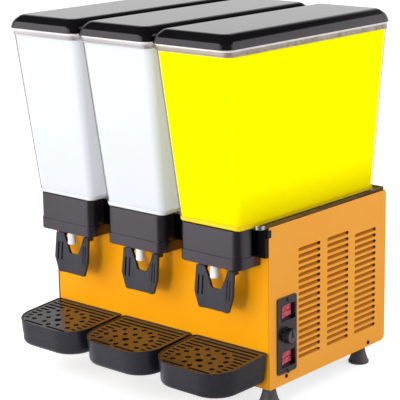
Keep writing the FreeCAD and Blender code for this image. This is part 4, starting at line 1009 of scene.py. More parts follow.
def settle(piece: bpy.types.Object, body: str, finishes: tuple[Finish, ...], *nodes: str) -> None:
    """Finish a new piece, set it on its body and hide the CAD nodes that it stands for.

    Args:
        piece: the piece.
        body: the CAD body that it rides on.
        finishes: its finishes, in the order of its material numbers.
        nodes: the CAD nodes that it replaces.
    """
    for finish in finishes:
        piece.data.materials.append(finish.make())
    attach(piece, body)
    if nodes:
        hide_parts(*nodes)
    log.info("built %s on %s", piece.name, body)


def axis_at(x: float, y: float, z: float, along: Spot = (0.0, 0.0, 1.0)) -> Matrix:
    """Stand a local frame at a point, in millimetres, with its Z along a direction."""
    turn = Vector(along).to_track_quat("Z", "Y").to_matrix().to_4x4()
    return Matrix.Translation(at(x, y, z)) @ turn


@dataclass
class Cabinet:
    """The sheet-metal cabinet: base pan, panels, deck, feet and screws.

    Sizes are in millimetres from the foot of the front panel.

    Attributes:
        edge: the rounding of the sheets' edges.
        foot_x: how far the feet stand from the middle.
        foot_y: where they stand from front to back.
        foot_r: a foot's radius at its rim.
        foot_sole_r: the radius of its flat sole.
        foot_neck_r: its radius at the neck.
        foot_flare: how strongly the bell flares; 1 is a plain cone.
        foot_rim_z: the height of its rim.
        foot_neck_z: the height of its neck.
        foot_z: its full height.
        foot_parts: how many parts the flare has.
        stud_r: the radius of its stud.
        stud_z: the stud's upper end.
        side_x: how far the side panels' faces lie from the middle.
        side_screws: the place from front to back and the height of each side screw.
        rear_screw_x: how far the rear screws lie from the middle.
        rear_screw_y: the rear panel's face.
        rear_screw_z: the rear screws' heights.
        bracket_screw_x: how far the bracket's screws lie from the middle.
        bracket_y: the bracket's face.
        bracket_screw_z: its screws' heights.
        plate_x: the control plate's face.
        plate_screw_y: the place of its screws from front to back.
        plate_screw_z: its screws' heights.
        screw: a screw's radius and height over its seat, from the tip to the crown.
        drive_mouth: the reach, half width and height of the cross at its mouth.
        drive_pit: the same at its bottom.
    """

    edge: float = 0.5
    foot_x: float = 239.0
    foot_y: tuple[float, ...] = (36.0, 317.0)
    foot_r: float = 20.0
    foot_sole_r: float = 17.0
    foot_neck_r: float = 11.5
    foot_flare: float = 1.7
    foot_rim_z: float = 5.0
    foot_neck_z: float = 36.0
    foot_z: float = 42.0
    foot_parts: int = 12
    stud_r: float = 4.0
    stud_z: float = 52.0
    side_x: float = 269.0
    side_screws: tuple[tuple[float, float], ...] = ((48.0, 57.0), (305.0, 50.0))
    rear_screw_x: float = 260.0
    rear_screw_y: float = 360.2
    rear_screw_z: tuple[float, ...] = (80.0, 200.0, 320.0)
    bracket_screw_x: float = 90.0
    bracket_y: float = -8.0
    bracket_screw_z: tuple[float, ...] = (302.0, 329.0)
    plate_x: float = 271.5
    plate_screw_y: float = 50.5
    plate_screw_z: tuple[float, ...] = (66.5, 201.5)
    screw: tuple[tuple[float, float], ...] = (
        (1.6, -8.0), (2.0, -7.5), (2.0, 0.0), (3.8, 0.0), (4.0, 0.25), (4.0, 0.9), (3.75, 1.4), (3.2, 1.8),
        (2.5, 2.05),
    )
    drive_mouth: Spot = (1.9, 0.48, 2.15)
    drive_pit: Spot = (1.4, 0.30, 1.1)

    def screw_places(self) -> list[Matrix]:
        """Stand a local frame under each screw head, with its Z outward.

        Returns:
            The frames.
        """
        places = []
        for side in (-1.0, 1.0):
            places += [axis_at(side * self.side_x, y, z, (side, 0.0, 0.0)) for y, z in self.side_screws]
            for z in self.rear_screw_z:
                places.append(axis_at(side * self.rear_screw_x, self.rear_screw_y, z, (0.0, 1.0, 0.0)))
            for z in self.bracket_screw_z:
                places.append(axis_at(side * self.bracket_screw_x, self.bracket_y, z, (0.0, -1.0, 0.0)))
        places += [axis_at(self.plate_x, self.plate_screw_y, z, (1.0, 0.0, 0.0)) for z in self.plate_screw_z]
        return places

    def drive_cross(self, reach: float, half: float, height: float) -> list[Spot]:
        """Trace the cross of a screw's drive, with the middles of its edges.

        Args:
            reach: how far each arm reaches.
            half: half an arm's width.
            height: how high the cross lies over the screw's seat.

        Returns:
            Its points, in order round the middle.
        """
        middle = (reach + half) / 2
        arm = ((half, -half), (middle, -half), (reach, -half), (reach, 0), (reach, half), (middle, half))
        points = []
        for turn in (quarter * math.pi / 2 for quarter in range(4)):
            ahead = Vector((math.cos(turn), math.sin(turn)))
            aside = Vector((-ahead.y, ahead.x))
            points += [(*(ahead * along + aside * across), height) for along, across in arm]
        return points

    def screws(self) -> None:
        """Build every screw with a domed head and a cross drive."""
        shape = Shape()
        mouth = self.drive_cross(*self.drive_mouth)
        turns = [math.atan2(y, x) for x, y, _ in mouth]
        rings = [[(r * math.cos(a), r * math.sin(a), h) for a in turns] for r, h in self.screw]
        rings += [mouth, self.drive_cross(*self.drive_pit)]
        for place in self.screw_places():
            shape.skin([[place @ (Vector(point) * MM) for point in ring] for ring in rings])
        piece = shape.piece("screw_set", weighted=False)
        break_shading(piece, BREAK_TURN)
        settle(piece, "root", (SCREW_STEEL,), "screws")

    def feet(self) -> None:
        """Build the four bell feet with their studs."""
        r, rim_z, neck_r, neck_z = self.foot_r, self.foot_rim_z, self.foot_neck_r, self.foot_neck_z
        bell = [
            (self.foot_sole_r, 0.0), (r - 1.2, 0.0), (r - 0.3, 0.6), (r, 1.8), (r, rim_z - 0.8),
            (r - 0.5, rim_z),
        ]
        for share in (step / self.foot_parts for step in range(self.foot_parts + 1)):
            radius = neck_r + (r - 1.1 - neck_r) * (1 - share) ** self.foot_flare
            bell.append((radius, rim_z + (neck_z - rim_z) * share))
        bell += [(neck_r + 0.8, neck_z + 0.6), (neck_r + 0.8, self.foot_z - 0.8), (neck_r, self.foot_z)]
        stud_r, stud_z = self.stud_r, self.stud_z
        stud = [(stud_r, self.foot_z - 1), (stud_r, stud_z - 0.5), (stud_r - 0.6, stud_z)]
        shape = Shape()
        for y in self.foot_y:
            for x in (-self.foot_x, self.foot_x):
                shape.turned(bell, axis_at(x, y, 0.0))
                shape.turned(stud, axis_at(x, y, 0.0), 24)
        settle(shape.piece("bell_feet"), "root", (FOOT_RUBBER,), "feet")

    def dress(self) -> None:
        """Finish the cabinet's CAD nodes and build its feet and screws."""
        dress("front_panel", ORANGE_PAINT, self.edge)
        dress("left_side_panel", SHEEN_SIDE_PAINT, self.edge)
        dress("right_side_panel", SHEEN_SIDE_PAINT, self.edge)
        dress("rear_panel", ZINC_SHEET)
        dress("base_pan", ZINC_SHEET)
        dress("top_deck", DECK_STEEL, self.edge)
        self.feet()
        self.screws()


@dataclass
class Taps:
    """The three heads, their bracket, levers, pins, springs and tubes.

    Attributes:
        edge: the rounding of the mouldings' edges, in millimetres.
        crease: the turn that still shows as an edge on a lever, in degrees.
        tube_y: the tubes' middle from front to back.
        tube_r: a tube's radius.
        tube_bore_r: its bore's radius.
        tube_low: the height of its lower end.
        tube_high: the height of its upper end.
    """

    edge: float = 0.8
    crease: float = 11.0
    tube_y: float = -44.0
    tube_r: float = 8.0
    tube_bore_r: float = 5.05
    tube_low: float = 248.0
    tube_high: float = 335.0

    def tube(self, unit: int) -> None:
        """Build a soft tube with a rolled lower end and a swelling over the spigot.

        Args:
            unit: the head's number.
        """
        low, high, r, bore = self.tube_low, self.tube_high, self.tube_r, self.tube_bore_r
        neck = r - 0.5
        profile = rounded([
            (bore, low + 10, 0.0), (bore, low, 0.5), (r, low, 0.8), (r, low + 4, 1.0), (neck, low + 5.5, 1.0),
            (neck, high - 22, 3.0), (r, high - 16, 3.0), (r, high, 0.8), (bore, high, 0.5),
            (bore, high - 10, 0.0),
        ])
        shape = Shape()
        shape.turned(profile, axis_at(unit_x(unit), self.tube_y, 0.0), loop=True)
        settle(shape.piece(f"soft_tube_{unit}"), f"bowl_{unit}", (TUBE_SILICONE,), f"dispense_tube_{unit}")

    def dress(self) -> None:
        """Finish the heads' CAD nodes and build the tubes."""
        dress("head_bracket", BRACKET_SHADED_BLACK, self.edge)
        dress("tap_housings", BLACK_MOULDING, self.edge)
        dress("tap_skirts", BLACK_MOULDING, self.edge)
        dress("lever_pivot_pins", SCREW_STEEL)
        for unit in UNITS:
            dress(f"lever_{unit}", LEVER_BLACK, self.edge, self.crease, self.crease)
            dress(f"lever_spring_{unit}", SCREW_STEEL)
            self.tube(unit)


class BowlPart(Enum):
    """A part of a bowl with its own finish, numbered as in the bowl's list of finishes."""

    WALL = 0
    BAND = 1
    RIM = 2
    FOOT = 3
    INSIDE = 4


@dataclass
class Bowls:
    """The three clear bowls with their drinks, gaskets, stirrers and drive magnets.

    Sizes are in millimetres from the foot of the front panel.

    Attributes:
        low: the wall's outline at the bottom.
        high: the wall's outline under the rim.
        low_z: the underside.
        high_z: where the rim begins.
        rim_z: the rim's upper edge.
        wall: the wall's thickness.
        floor_z: the inner floor.
        foot_z: where the wall begins over the rounded foot.
        foot_round: the rounding between the wall and the underside.
        bead: how far the rim's two beads stand out.
        bead_height: the lower bead's height.
        band: how far the band between the beads stands out.
        top_bead_z: where the upper bead begins.
        well_y: the middle of the well over the tower, from front to back.
        well_r: the well's radius.
        collar_r: the radius of the collar round the well.
        collar_z: the collar's upper edge.
        outlet_y: the spigot's middle from front to back.
        spigot_z: the spigot's lower end.
        spigot_r: its radius.
        spigot_bore_r: its bore's radius.
        tower_r: the cooling tower's radius.
        tower_z: the tower's top.
        drink_z: the drink's level.
        drink_gap: the gap between the drink and the bowl.
        fan_step: the angle between two spokes from the well to a side wall, in degrees.
        fan_reach: how many spokes fan out on each side of square.
        end_parts: how many parts the front and back walls have.
        drinks: each bowl's drink.
        walls: each bowl's finish on the wall.
        bands: each bowl's finish on the band.
        feet: each bowl's finish on the rounded foot.
    """

    low: Outline = Outline(71.5, -59.5, 347.0, 14.0)
    high: Outline = Outline(85.0, -101.0, 370.0, 18.0)
    low_z: float = 344.5
    high_z: float = 652.5
    rim_z: float = 665.2
    wall: float = 3.0
    floor_z: float = 348.5
    foot_z: float = 353.0
    foot_round: float = 7.0
    bead: float = 2.5
    bead_height: float = 3.0
    band: float = 1.0
    top_bead_z: float = 661.7
    well_y: float = 150.0
    well_r: float = 52.0
    collar_r: float = 55.5
    collar_z: float = 362.0
    outlet_y: float = -44.0
    spigot_z: float = 322.5
    spigot_r: float = 5.0
    spigot_bore_r: float = 3.5
    tower_r: float = 50.0
    tower_z: float = 498.0
    drink_z: float = 653.0
    drink_gap: float = 0.2
    fan_step: float = 6.0
    fan_reach: int = 10
    end_parts: int = 6
    drinks: tuple[DrinkFinish, ...] = (WHITE_DRINK, WHITE_DRINK, YELLOW_DRINK)
    walls: tuple[WallFinish, ...] = (WHITE_WALL, WHITE_WALL, YELLOW_WALL)
    bands: tuple[ClearFinish, ...] = (WHITE_BAND, WHITE_BAND, YELLOW_BAND)
    feet: tuple[ClearFinish, ...] = (WHITE_FOOT, WHITE_FOOT, YELLOW_FOOT)

    def side_shares(self) -> tuple[tuple[float, ...], ...]:
        """Share out extra points along the outline so that they fan evenly about the well.

        Returns:
            The shares along the front, right, back and left sides.
        """
        half = self.low.half - self.foot_round
        start = self.low.front + self.low.corner
        span = self.low.back - self.low.corner - start
        fan = [math.radians(self.fan_step * step) for step in range(-self.fan_reach, self.fan_reach + 1)]
        right = tuple((self.well_y + half * math.tan(a) - start) / span for a in fan)
        across = tuple(step / self.end_parts for step in range(1, self.end_parts))
        return across, right, across, tuple(1 - share for share in reversed(right))

    def wall_ring(self, x: float, z: float, inset: float) -> Ring:
        """Trace the tapering wall at a height, drawn in by an inset.

        Args:
            x: the bowl's middle across the front.
            z: the height.
            inset: how far inside the outer face.

        Returns:
            The points.
        """
        share = min(max((z - self.low_z) / (self.high_z - self.low_z), 0.0), 1.0)
        return self.low.toward(self.high, share).ring(x, z, inset, self.side_shares())

    def well_ring(self, x: float, z: float, radius: float) -> Ring:
        """Trace a circle about the well, with one point for each point of the wall's outline.

        Args:
            x: the bowl's middle across the front.
            z: the height.
            radius: the circle's radius.

        Returns:
            The points.
        """
        middle = at(x, self.well_y, z)
        spokes = [point - middle for point in self.low.ring(x, z, self.foot_round, self.side_shares())]
        return [middle + spoke.normalized() * radius * MM for spoke in spokes]

    def part_of(self, first: tuple[float, float], second: tuple[float, float]) -> BowlPart:
        """Tell to which part the face between two points of the profile belongs.

        Args:
            first: one point's inset and height.
            second: the other's.

        Returns:
            The part.
        """
        inset, z = (min(pair) for pair in zip(first, second))
        if z > self.top_bead_z - 0.5:
            return BowlPart.RIM
        if inset > self.wall - 0.01 and z > self.floor_z - 0.01:
            return BowlPart.INSIDE
        if z > self.high_z - 1.0:
            return BowlPart.BAND
        return BowlPart.FOOT if z < self.foot_z - 0.5 else BowlPart.WALL

    def mould(self, unit: int) -> None:
        """Build a bowl: rounded foot, tapering walls, beaded rim, collared well and spigot.

        Args:
            unit: the bowl's number.
        """
        x = unit_x(unit)
        wall, bead, band, bend = self.wall, self.bead, self.band, self.foot_round
        low, high, floor, top_bead = self.low_z, self.high_z, self.floor_z, self.top_bead_z
        profile = rounded([
            (bend + 0.5, low, 0.0), (0.0, low, bend), (0.0, self.foot_z, 0.0), (0.0, high, 0.4),
            (-bead, high, 0.7), (-bead, high + self.bead_height, 0.7), (-band, high + self.bead_height, 0.4),
            (-band, top_bead, 0.4), (-bead, top_bead, 0.7), (-bead, self.rim_z, 0.8), (wall, self.rim_z, 0.8),
            (wall, high, 0.0), (wall, floor, bend - 2.0), (bend + 1.5, floor, 0.0),
        ])
        well_r, collar_r, collar_z = self.well_r, self.collar_r, self.collar_z
        well = [(well_r, collar_z - 0.6), (well_r, low + 0.5), (well_r + 0.5, low)]
        collar = [
            (collar_r + 0.8, floor), (collar_r, floor + 0.8), (collar_r, collar_z - 0.6),
            (collar_r - 0.6, collar_z), (well_r + 0.6, collar_z),
        ]
        rings = [self.well_ring(x, z, r) for r, z in well]
        rings += [self.wall_ring(x, z, inset) for inset, z in profile]
        rings += [self.well_ring(x, z, r) for r, z in collar]
        run = well + profile + collar
        shape = Shape()
        shape.skin(rings, loop=True, kinds=[self.part_of(*pair).value for pair in zip(run, run[1:] + run[:1])])
        outer, bore, root, end = self.spigot_r, self.spigot_bore_r, low + 1, self.spigot_z
        spigot = [(outer, root), (outer, end + 0.6), (outer - 0.5, end), (bore + 0.4, end), (bore, end + 0.4),
                  (bore, root)]
        shape.turned(spigot, axis_at(x, self.outlet_y, 0.0), 32, loop=True)
        own = [row[unit - 1] for row in (self.walls, self.bands, self.feet)]
        finishes = (own[0], own[1], CLEAR_RIM, own[2], CLEAR_INSIDE)
        settle(shape.piece(f"clear_bowl_{unit}"), f"bowl_{unit}", finishes, f"bowl_{unit}")

    def pour(self, unit: int) -> None:
        """Fill a bowl to its rim, around the cooling tower.

        Args:
            unit: the bowl's number.
        """
        x = unit_x(unit)
        floor, inset = self.floor_z + self.drink_gap, self.wall + self.drink_gap
        tower_r, tower_z, top, bend = self.tower_r, self.tower_z, self.drink_z, self.foot_round
        beside = self.collar_r + self.drink_gap
        dome = [
            (12.0, tower_z + 1.2), (38.0, tower_z + 1.0), (46.5, tower_z - 1.6), (tower_r + 0.6, tower_z - 10),
            (tower_r + 0.7, self.collar_z + 1.0), (beside, self.collar_z + 0.6), (beside, floor + 1.0),
            (self.collar_r + 1.0, floor),
        ]
        profile = rounded([
            (bend + 1.7, floor, 0.0), (inset, floor, bend - 2.0), (inset, top, 0.2),
            (inset + 0.8, top - 0.5, 0.8), (inset + 5.0, top - 1.0, 0.0),
        ])
        shape = Shape()
        shape.skin([self.well_ring(x, z, r) for r, z in dome] + [self.wall_ring(x, z, i) for i, z in profile])
        drink = shape.piece(f"drink_{unit}")
        drink.data.materials.append(self.drinks[unit - 1].make())
        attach(drink, f"bowl_{unit}")
        log.info("poured drink_%d", unit)

    def dress(self) -> None:
        """Build the bowls, pour the drinks and finish the CAD nodes under them."""
        for unit in UNITS:
            self.mould(unit)
            self.pour(unit)
            dress(f"stirring_paddle_{unit}", PADDLE_WHITE)
            dress(f"drive_magnet_{unit}", MAGNET_STEEL)
        dress("bowl_gaskets", GASKET_RUBBER)


@dataclass
class Lids:
    """The three shouldered lids, each with a skirt that drops into its bowl's mouth.

    Attributes:
        outer: the lid's outline.
        mouth: the outline of the bowl's mouth.
        low_z: the lid's lower edge.
        shoulder_z: the height of its shoulder.
        top_z: its top.
        shoulder_inset: how far the shoulder is drawn in.
        shoulder_round: the rounding of the shoulder.
        top_inset: how far the edge of the top is drawn in.
        top_round: the rounding of that edge.
        flat_inset: how far the last ring of the flat top is drawn in.
        wall: the lid's thickness.
        skirt_z: the skirt's lower edge.
        skirt_inset: how far the skirt is drawn in from the mouth.
        skirt_wall: the skirt's thickness.
        seat: how far the lid is hollowed over its lower edge.
    """

    outer: Outline = Outline(88.0, -108.0, 376.0, 20.0, 0.5)
    mouth: Outline = Outline(85.0, -101.0, 370.0, 18.0)
    low_z: float = 665.2
    shoulder_z: float = 678.0
    top_z: float = 689.5
    shoulder_inset: float = 3.5
    shoulder_round: float = 19.0
    top_inset: float = 17.0
    top_round: float = 17.0
    flat_inset: float = 44.0
    wall: float = 3.0
    skirt_z: float = 654.0
    skirt_inset: float = 3.8
    skirt_wall: float = 2.0
    seat: float = 2.5

    def mould(self, unit: int) -> None:
        """Build a lid.

        Args:
            unit: the lid's number.
        """
        x = unit_x(unit)
        low, seat, top, shoulder = self.low_z, self.low_z + self.seat, self.top_z, self.shoulder_z
        crown = rounded([
            (self.flat_inset, top, 0.0), (self.top_inset, top, self.top_round),
            (self.shoulder_inset, shoulder, self.shoulder_round), (0.0, low, 0.5), (0.8, low, 0.0),
        ], 8)
        outside, inside, end = self.skirt_inset, self.skirt_inset + self.skirt_wall, self.skirt_z
        skirt = [(outside, low), (outside, end + 0.6), (outside + 0.5, end), (inside - 0.5, end),
                 (inside, end + 0.6), (inside, seat)]
        ceiling = [(self.wall + 0.6, seat), (self.shoulder_inset + self.wall, shoulder - 1.5),
                   (self.top_inset + 1.5, top - self.wall)]
        rings = [self.outer.ring(x, z, inset) for inset, z in crown]
        rings += [self.mouth.ring(x, z, inset) for inset, z in skirt]
        rings += [self.outer.ring(x, z, inset) for inset, z in ceiling]
        shape = Shape()
        shape.skin(rings)
        settle(shape.piece(f"shouldered_lid_{unit}"), f"lid_{unit}", (LID_GLOSS,), f"lid_{unit}")

    def dress(self) -> None:
        """Build the lids."""
        for unit in UNITS:
            self.mould(unit)


@dataclass
class Trays:
    """The three drip trays and their grids.

    Attributes:
        edge: the rounding of a tray's edges, in millimetres.
        grid_edge: the rounding of a grid's edges.
    """

    edge: float = 0.7
    grid_edge: float = 0.4

    def dress(self) -> None:
        """Finish the trays' CAD nodes."""
        for unit in UNITS:
            dress(f"drip_tray_{unit}", TRAY_MOULDING, self.edge)
            dress(f"drip_grid_{unit}", GRID_MOULDING, self.grid_edge, 40.0)


@dataclass
class Controls:
    """The control plate on the right side with its rockers and knob.

    Sizes are in millimetres from the foot of the front panel.

    Attributes:
        edge: the rounding of the plate's edges.
        knob_x: the knob's foot on the plate.
        knob_y: its middle from front to back.
        knob_z: its middle's height.
        knob_r: its radius.
        flutes: how many flutes it has.
        flute_parts: how many points each flute has.
        flute_depth: how deep a flute is.
        spindle_r: the spindle's radius.
        spindle_end_x: the spindle's inner end.
        pointer: where the pointer rib starts and ends, from the knob's middle.
        pointer_rib: the rib's height and half width, from the face outward.
        rocker_x: the rockers' axis.
        rocker_y: their middle from front to back.
        pocket_z: the heights of the two switches' middles.
        rocker_offset: how far a rocker lies over or under its switch's middle.
        rocker_half: half a rocker's length.
        rocker_tall: half its width.
        rocker_tilt: how far it is tipped at rest, in degrees.
        rocker_parts: how many parts its dished face has.
    """

    edge: float = 0.4
    knob_x: float = 271.7
    knob_y: float = 48.0
    knob_z: float = 135.0
    knob_r: float = 15.6
    flutes: int = 18
    flute_parts: int = 8
    flute_depth: float = 0.9
    spindle_r: float = 3.0
    spindle_end_x: float = 252.0
    pointer: tuple[float, float] = (2.5, 11.5)
    pointer_rib: tuple[tuple[float, float], ...] = ((11.8, 1.0), (12.7, 1.0), (13.0, 0.7))
    rocker_x: float = 262.0
    rocker_y: float = 52.0
    pocket_z: tuple[float, ...] = (90.0, 178.0)
    rocker_offset: float = 5.9
    rocker_half: float = 15.2
    rocker_tall: float = 5.1
    rocker_tilt: float = 8.0
    rocker_parts: int = 16

    def pointer_rings(self, place: Matrix) -> list[Ring]:
        """Trace the rib on the knob's face, which points up at rest.

        Args:
            place: where the knob's axis stands.

        Returns:
            The rib's rings, from the face outward.
        """
        upright = (place.inverted() @ (place.translation + Vector((0, 0, MM)))).normalized()
        aside = upright.cross(Vector((0, 0, 1)))
        start, end = self.pointer
        rings = []
        for height, half in self.pointer_rib:
            ring = []
            for centre, first in ((start, 180.0), (end, 0.0)):
                for turn in (math.radians(first - 90.0 + 22.5 * step) for step in range(9)):
                    spot = upright * (centre + half * math.cos(turn)) + aside * (half * math.sin(turn))
                    ring.append(place @ ((spot + Vector((0, 0, height))) * MM))
            rings.append(ring)
        return rings

    def knob(self) -> None:
        """Build the fluted knob with its pointer rib and spindle."""
        place = axis_at(self.knob_x, self.knob_y, self.knob_z, (1.0, 0.0, 0.0))
        count = self.flutes * self.flute_parts
        r = self.knob_r
        profile = [
            (r - 1.5, 0.0, 0.0), (r - 0.3, 0.2, 0.0), (r, 0.5, 0.0), (r, 1.2, 0.0), (r - 0.4, 1.6, 0.0),
            (r - 0.9, 1.8, 0.0), (r - 1.1, 2.5, 1.0), (r - 1.8, 11.0, 1.0), (r - 2.4, 11.8, 0.7),
            (r - 3.4, 12.0, 0.0), (4.0, 12.0, 0.0),
        ]
        rings = []
        for radius, height, share in profile:
            ring = []
            for turn in (math.tau * number / count for number in range(count)):
                reach = radius - self.flute_depth * share * (0.5 + 0.5 * math.cos(self.flutes * turn)) ** 3
                ring.append(place @ (Vector((reach * math.cos(turn), reach * math.sin(turn), height)) * MM))
            rings.append(ring)
        shape = Shape()
        # The flat ring of the face takes the lighter copy of the knob's black: painted sheen.
        shape.skin(rings, kinds=[int(share == 0.0 and height > 11.0) for _, height, share in profile])
        shape.turned([(self.spindle_r, self.spindle_end_x - self.knob_x), (self.spindle_r, 1.0)], place, 24)
        shape.skin(self.pointer_rings(place))
        settle(shape.piece("fluted_knob"), "thermostat_knob", (KNOB_BLACK, KNOB_FACE_SHEEN), "thermostat_knob")

    def rocker(self, number: int) -> None:
        """Build a dished rocker key, tipped to its rest side.

        Args:
            number: the rocker's number, from the bottom up.
        """
        pocket, upper = divmod(number - 1, 2)
        middle_z = self.pocket_z[pocket] + (1 if upper else -1) * self.rocker_offset
        half, tall = self.rocker_half, self.rocker_tall
        shares = [2 * step / self.rocker_parts - 1 for step in range(self.rocker_parts + 1)]
        face = [(share * (half - 0.4), 2.8 + 1.7 * abs(share) ** 1.3) for share in shares]
        outline = [(-half, 4.0)] + face + [(half, 4.0), (half - 1.7, -3.0), (1.7 - half, -3.0)]
        turn = Matrix.Rotation(math.radians(self.rocker_tilt), 4, "Z")
        place = Matrix.Translation(at(self.rocker_x, self.rocker_y, middle_z)) @ turn
        ends = [(tall, 0.6), (tall - 0.25, 0.2), (tall - 0.7, 0.0)]
        rings = []
        for height, inset in [(-height, inset) for height, inset in ends] + ends[::-1]:
            ring = []
            for u, v in outline:
                spot = Vector((v - math.copysign(inset, v), u * (1 - inset / half), height))
                ring.append(place @ (spot * MM))
            rings.append(ring)
        shape = Shape()
        shape.skin(rings)
        settle(shape.piece(f"rocker_key_{number}"), f"rocker_{number}", (ROCKER_RED,), f"rocker_{number}")

    def dress(self) -> None:
        """Finish the controls' CAD nodes and build the knob and rockers."""
        dress("control_plate", BLACK_MOULDING, self.edge)
        dress("switch_bodies", BLACK_MOULDING)
        dress("thermostat_body", BLACK_MOULDING)
        self.knob()
        for number in range(1, 5):
            self.rocker(number)


@dataclass
class CoolingPlant:
    """The refrigeration plant and the stirrer drives inside the cabinet.

    Attributes:
        finishes: each node's finish.
    """

    finishes: dict[str, Finish] = field(
        default_factory=lambda: {
            "evaporators": DECK_STEEL,
            "drive_motors": MOTOR_PAINT,
            "compressor": MOTOR_PAINT,
            "compressor_grommets": FOOT_RUBBER,
            "condenser": FIN_ALUMINIUM,
            "fan_shroud": ZINC_SHEET,
            "fan_motor": MOTOR_PAINT,
            "fan_blade": PADDLE_WHITE,
            "filter_drier": COPPER,
            "refrigerant_lines": COPPER,
            "cable_gland": BLACK_MOULDING,
            "wiring_loom": LOOM_SLEEVE,
        }
    )

    def dress(self) -> None:
        """Finish the plant's CAD nodes."""
        for node, finish in self.finishes.items():
            dress(node, finish)


@dataclass(frozen=True)
class Lamp:
    """A soft rectangular lamp.

    Attributes:
        name: the lamp's name.
        place: where it hangs, in millimetres.
        aim: the point that it faces.
        width: its width, in millimetres.
        height: its height.
        watts: its power.
    """

    name: str
    place: Spot
    aim: Spot
    width: float
    height: float
    watts: float

    def hang(self) -> None:
        """Put the lamp into the scene, out of the camera's own sight."""
        data = bpy.data.lights.new(self.name, "AREA")
        data.shape = "RECTANGLE"
        data.size = self.width * MM
        data.size_y = self.height * MM
        data.energy = self.watts
        light = bpy.data.objects.new(self.name, data)
        light.location = at(*self.place)
        light.rotation_euler = (at(*self.aim) - at(*self.place)).to_track_quat("-Z", "Y").to_euler()
        light.visible_camera = False
        bpy.context.scene.collection.objects.link(light)
        log.info("hung %s", self.name)


